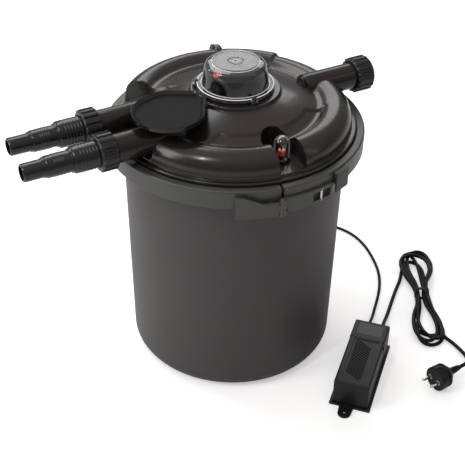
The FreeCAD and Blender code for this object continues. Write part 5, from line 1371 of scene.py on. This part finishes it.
class POND_OT_ballast(bpy.types.Operator):
    """Builds the ballast: housing with its ribbed panel, end cover, foot plate and cable glands"""
    bl_idname = "pond.ballast"
    bl_label = "Ballast"

    def execute(self, context):
        chosen = context.scene.pond_ballast
        place = (Matrix.Translation((chosen.place_x, chosen.place_y, 0))
                 @ Matrix.Rotation(chosen.bearing, 4, "Z"))
        near, far = -chosen.long / 2, chosen.long / 2
        joint = far - chosen.cap
        top, edge = chosen.high, 3.5 * MM
        body = long_box(housing_section(chosen.wide, chosen.plate, top, edge), near, joint)
        round_edges(body, edges_at(body, near), 2.2 * MM, 4)
        panel_near, panel_far = near + 14 * MM, joint - 3 * MM
        long = panel_far - panel_near
        panel = block((long, 42 * MM, 4 * MM), ((panel_near + panel_far) / 2, 0, top + 0.8 * MM), 0.8 * MM, 2)
        body = carved(body, panel)
        slant, margin = math.radians(-32), 9.5 * MM
        ribs = []
        for order in range(chosen.ribs):
            along = panel_near + margin + (long - 2 * margin) * order / (chosen.ribs - 1)
            rib = block((2.4 * MM, 40 * MM, 2.6 * MM), (along, 4 * MM, top - 1.1 * MM), 0.6 * MM, 2, slant)
            for side in (1, -1):
                bmesh.ops.bisect_plane(rib, geom=rib.verts[:] + rib.edges[:] + rib.faces[:],
                                       plane_co=(0, 3 * MM + side * 14 * MM, 0), plane_no=(0, side, 0),
                                       clear_outer=True)
            ribs.append(rib)
        catch = block((10 * MM, 3 * MM, 9 * MM), (joint - 6 * MM, -chosen.wide / 2 - 0.4 * MM, top - 5 * MM),
                      0.8 * MM, 2)
        piece("ballast_case", joined(body, *ribs, catch), "filter", FINISHES["ballast"],
              ["ballast_housing"], place, sharp=40)

        cap = long_box(housing_section(chosen.wide + 1.2 * MM, chosen.plate, top + 0.6 * MM, edge), joint, far)
        round_edges(cap, edges_at(cap, far), 2.0 * MM, 4)
        label = (joint + far) / 2 + 1 * MM
        field = block((30 * MM, 44 * MM, 4 * MM), (label, 0, top + 2.2 * MM), 0.5 * MM, 2)
        side_wall = chosen.wide / 2 + 1.2 * MM
        notches = [block((7 * MM, 3 * MM, 9 * MM), (joint + 1 * MM, side * side_wall, top - 13 * MM), 0.6 * MM, 2)
                   for side in (1, -1)]
        plate = block((29 * MM, 43 * MM, 0.5 * MM), (label, 0, top + 0.45 * MM), 0.15 * MM, 1)
        piece("ballast_blank_plate", plate, "filter", FINISHES["label"], place=place)
        piece("ballast_cap", carved(cap, field, *notches), "filter", FINISHES["ballast"],
              ["ballast_end_cover"], place, sharp=40)

        lip, ear_radius, bore = 4.5 * MM, 11 * MM, 2.9 * MM
        sheet = block((chosen.long + 2 * lip, chosen.wide + 2 * lip, chosen.plate), (0, 0, chosen.plate / 2),
                      1.2 * MM, 3)
        ears = []
        for sign, across in ((-1, 4.6 * MM), (1, -1.8 * MM)):
            x = sign * (chosen.long / 2 + 18.5 * MM)
            plan = [(x + sign * ear_radius * math.cos(swing), across + ear_radius * math.sin(swing))
                    for swing in [math.pi * (step / 16 - 0.5) for step in range(17)]]
            plan += [(sign * chosen.long / 2, across + 12.5 * MM), (sign * chosen.long / 2, across - 12.5 * MM)]
            ear = raised(plan, 0.02 * MM, chosen.plate - 0.02 * MM)
            round_edges(ear, sharp_edges(ear, 60), 0.8 * MM, 2)
            hole = spun([(0, -1 * MM), (bore, -1 * MM), (bore, 6 * MM), (0, 6 * MM)], 24)
            boss = spun(outline([(bore, 3.5 * MM), (5.2 * MM, 3.5 * MM), (5.2 * MM, 4.6 * MM, 0.4 * MM),
                                 (bore, 4.6 * MM)], 3), 32, closed=True)
            centre = Matrix.Translation((x, across, 0))
            ears += [carved(ear, moved(hole, centre)), moved(boss, centre)]
        piece("ballast_foot", joined(sheet, *ears), "filter", FINISHES["ballast"],
              ["ballast_plate"], place, sharp=40)

        cords = context.scene.pond_cord
        nut, root, neck, tip = 7.5 * MM, far - 1 * MM, far + 4 * MM, far + 14 * MM
        for name, cable, across in (("lamp_gland", cords.lamp_cable, 10.2 * MM),
                                    ("mains_gland", cords.mains_cable, -13.8 * MM)):
            section = [(0, root), (nut, root), (nut, neck - 0.6 * MM), (nut - 0.5 * MM, neck)]
            for share in (0, 0.25, 0.5, 0.75):
                along = neck + (tip - neck) * share
                radius = cable / 2 + 2.4 * MM - 1.4 * MM * share
                section += [(radius, along), (radius, along + 1.5 * MM), (radius - 0.7 * MM, along + 1.7 * MM),
                            (radius - 0.7 * MM, along + 2.3 * MM)]
            section += [(cable / 2 + 0.8 * MM, tip), (0, tip)]
            gland = spun(section, 40)
            spot = place @ Matrix.Translation((0, across, 22 * MM)) @ Matrix.Rotation(math.pi / 2, 4, "Y")
            piece(name + "_skin", gland, "filter", FINISHES["plug"], [name], spot, sharp=35)
        return {"FINISHED"}


# ---------------------------------------------------------------- panel and registration
SETTINGS = {
    "pond_stage": PondStageSettings, "pond_casing": PondCasingSettings, "pond_lid": PondLidSettings,
    "pond_fitting": PondFittingSettings, "pond_lamp": PondLampSettings, "pond_ballast": PondBallastSettings,
    "pond_cord": PondCordSettings, "pond_finish": PondFinishSettings,
}
OPERATORS = (POND_OT_stage, POND_OT_finishes, POND_OT_cords, POND_OT_casing, POND_OT_lid, POND_OT_fittings,
             POND_OT_selector, POND_OT_lamp, POND_OT_gauge, POND_OT_ballast)


class POND_PT_panel(bpy.types.Panel):
    """Lists the filter's settings and the steps that build it"""
    bl_idname = "POND_PT_panel"
    bl_label = "Pond filter"
    bl_space_type = "VIEW_3D"
    bl_region_type = "UI"
    bl_category = "Pond filter"

    def draw(self, context):
        for operator in OPERATORS:
            self.layout.operator(operator.bl_idname)
        for name, settings in SETTINGS.items():
            box = self.layout.box()
            for key in settings.__annotations__:
                box.prop(getattr(context.scene, name), key)


def register():
    """Registers the settings, the operators and the panel."""
    for name, settings in SETTINGS.items():
        bpy.utils.register_class(settings)
        setattr(bpy.types.Scene, name, PointerProperty(type=settings))
    for kind in OPERATORS + (POND_PT_panel,):
        bpy.utils.register_class(kind)


def unregister():
    """Takes them all away again."""
    for kind in (POND_PT_panel,) + OPERATORS[::-1]:
        bpy.utils.unregister_class(kind)
    for name, settings in SETTINGS.items():
        delattr(bpy.types.Scene, name)
        bpy.utils.unregister_class(settings)


def main():
    """Builds the whole filter."""
    register()
    bpy.ops.pond.stage()
    bpy.ops.pond.finishes()
    bpy.ops.pond.cords()
    bpy.ops.pond.casing()
    bpy.ops.pond.lid()
    bpy.ops.pond.fittings()
    bpy.ops.pond.selector()
    bpy.ops.pond.lamp()
    bpy.ops.pond.gauge()
    bpy.ops.pond.ballast()
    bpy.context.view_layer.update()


if __name__ == "__main__":
    main()
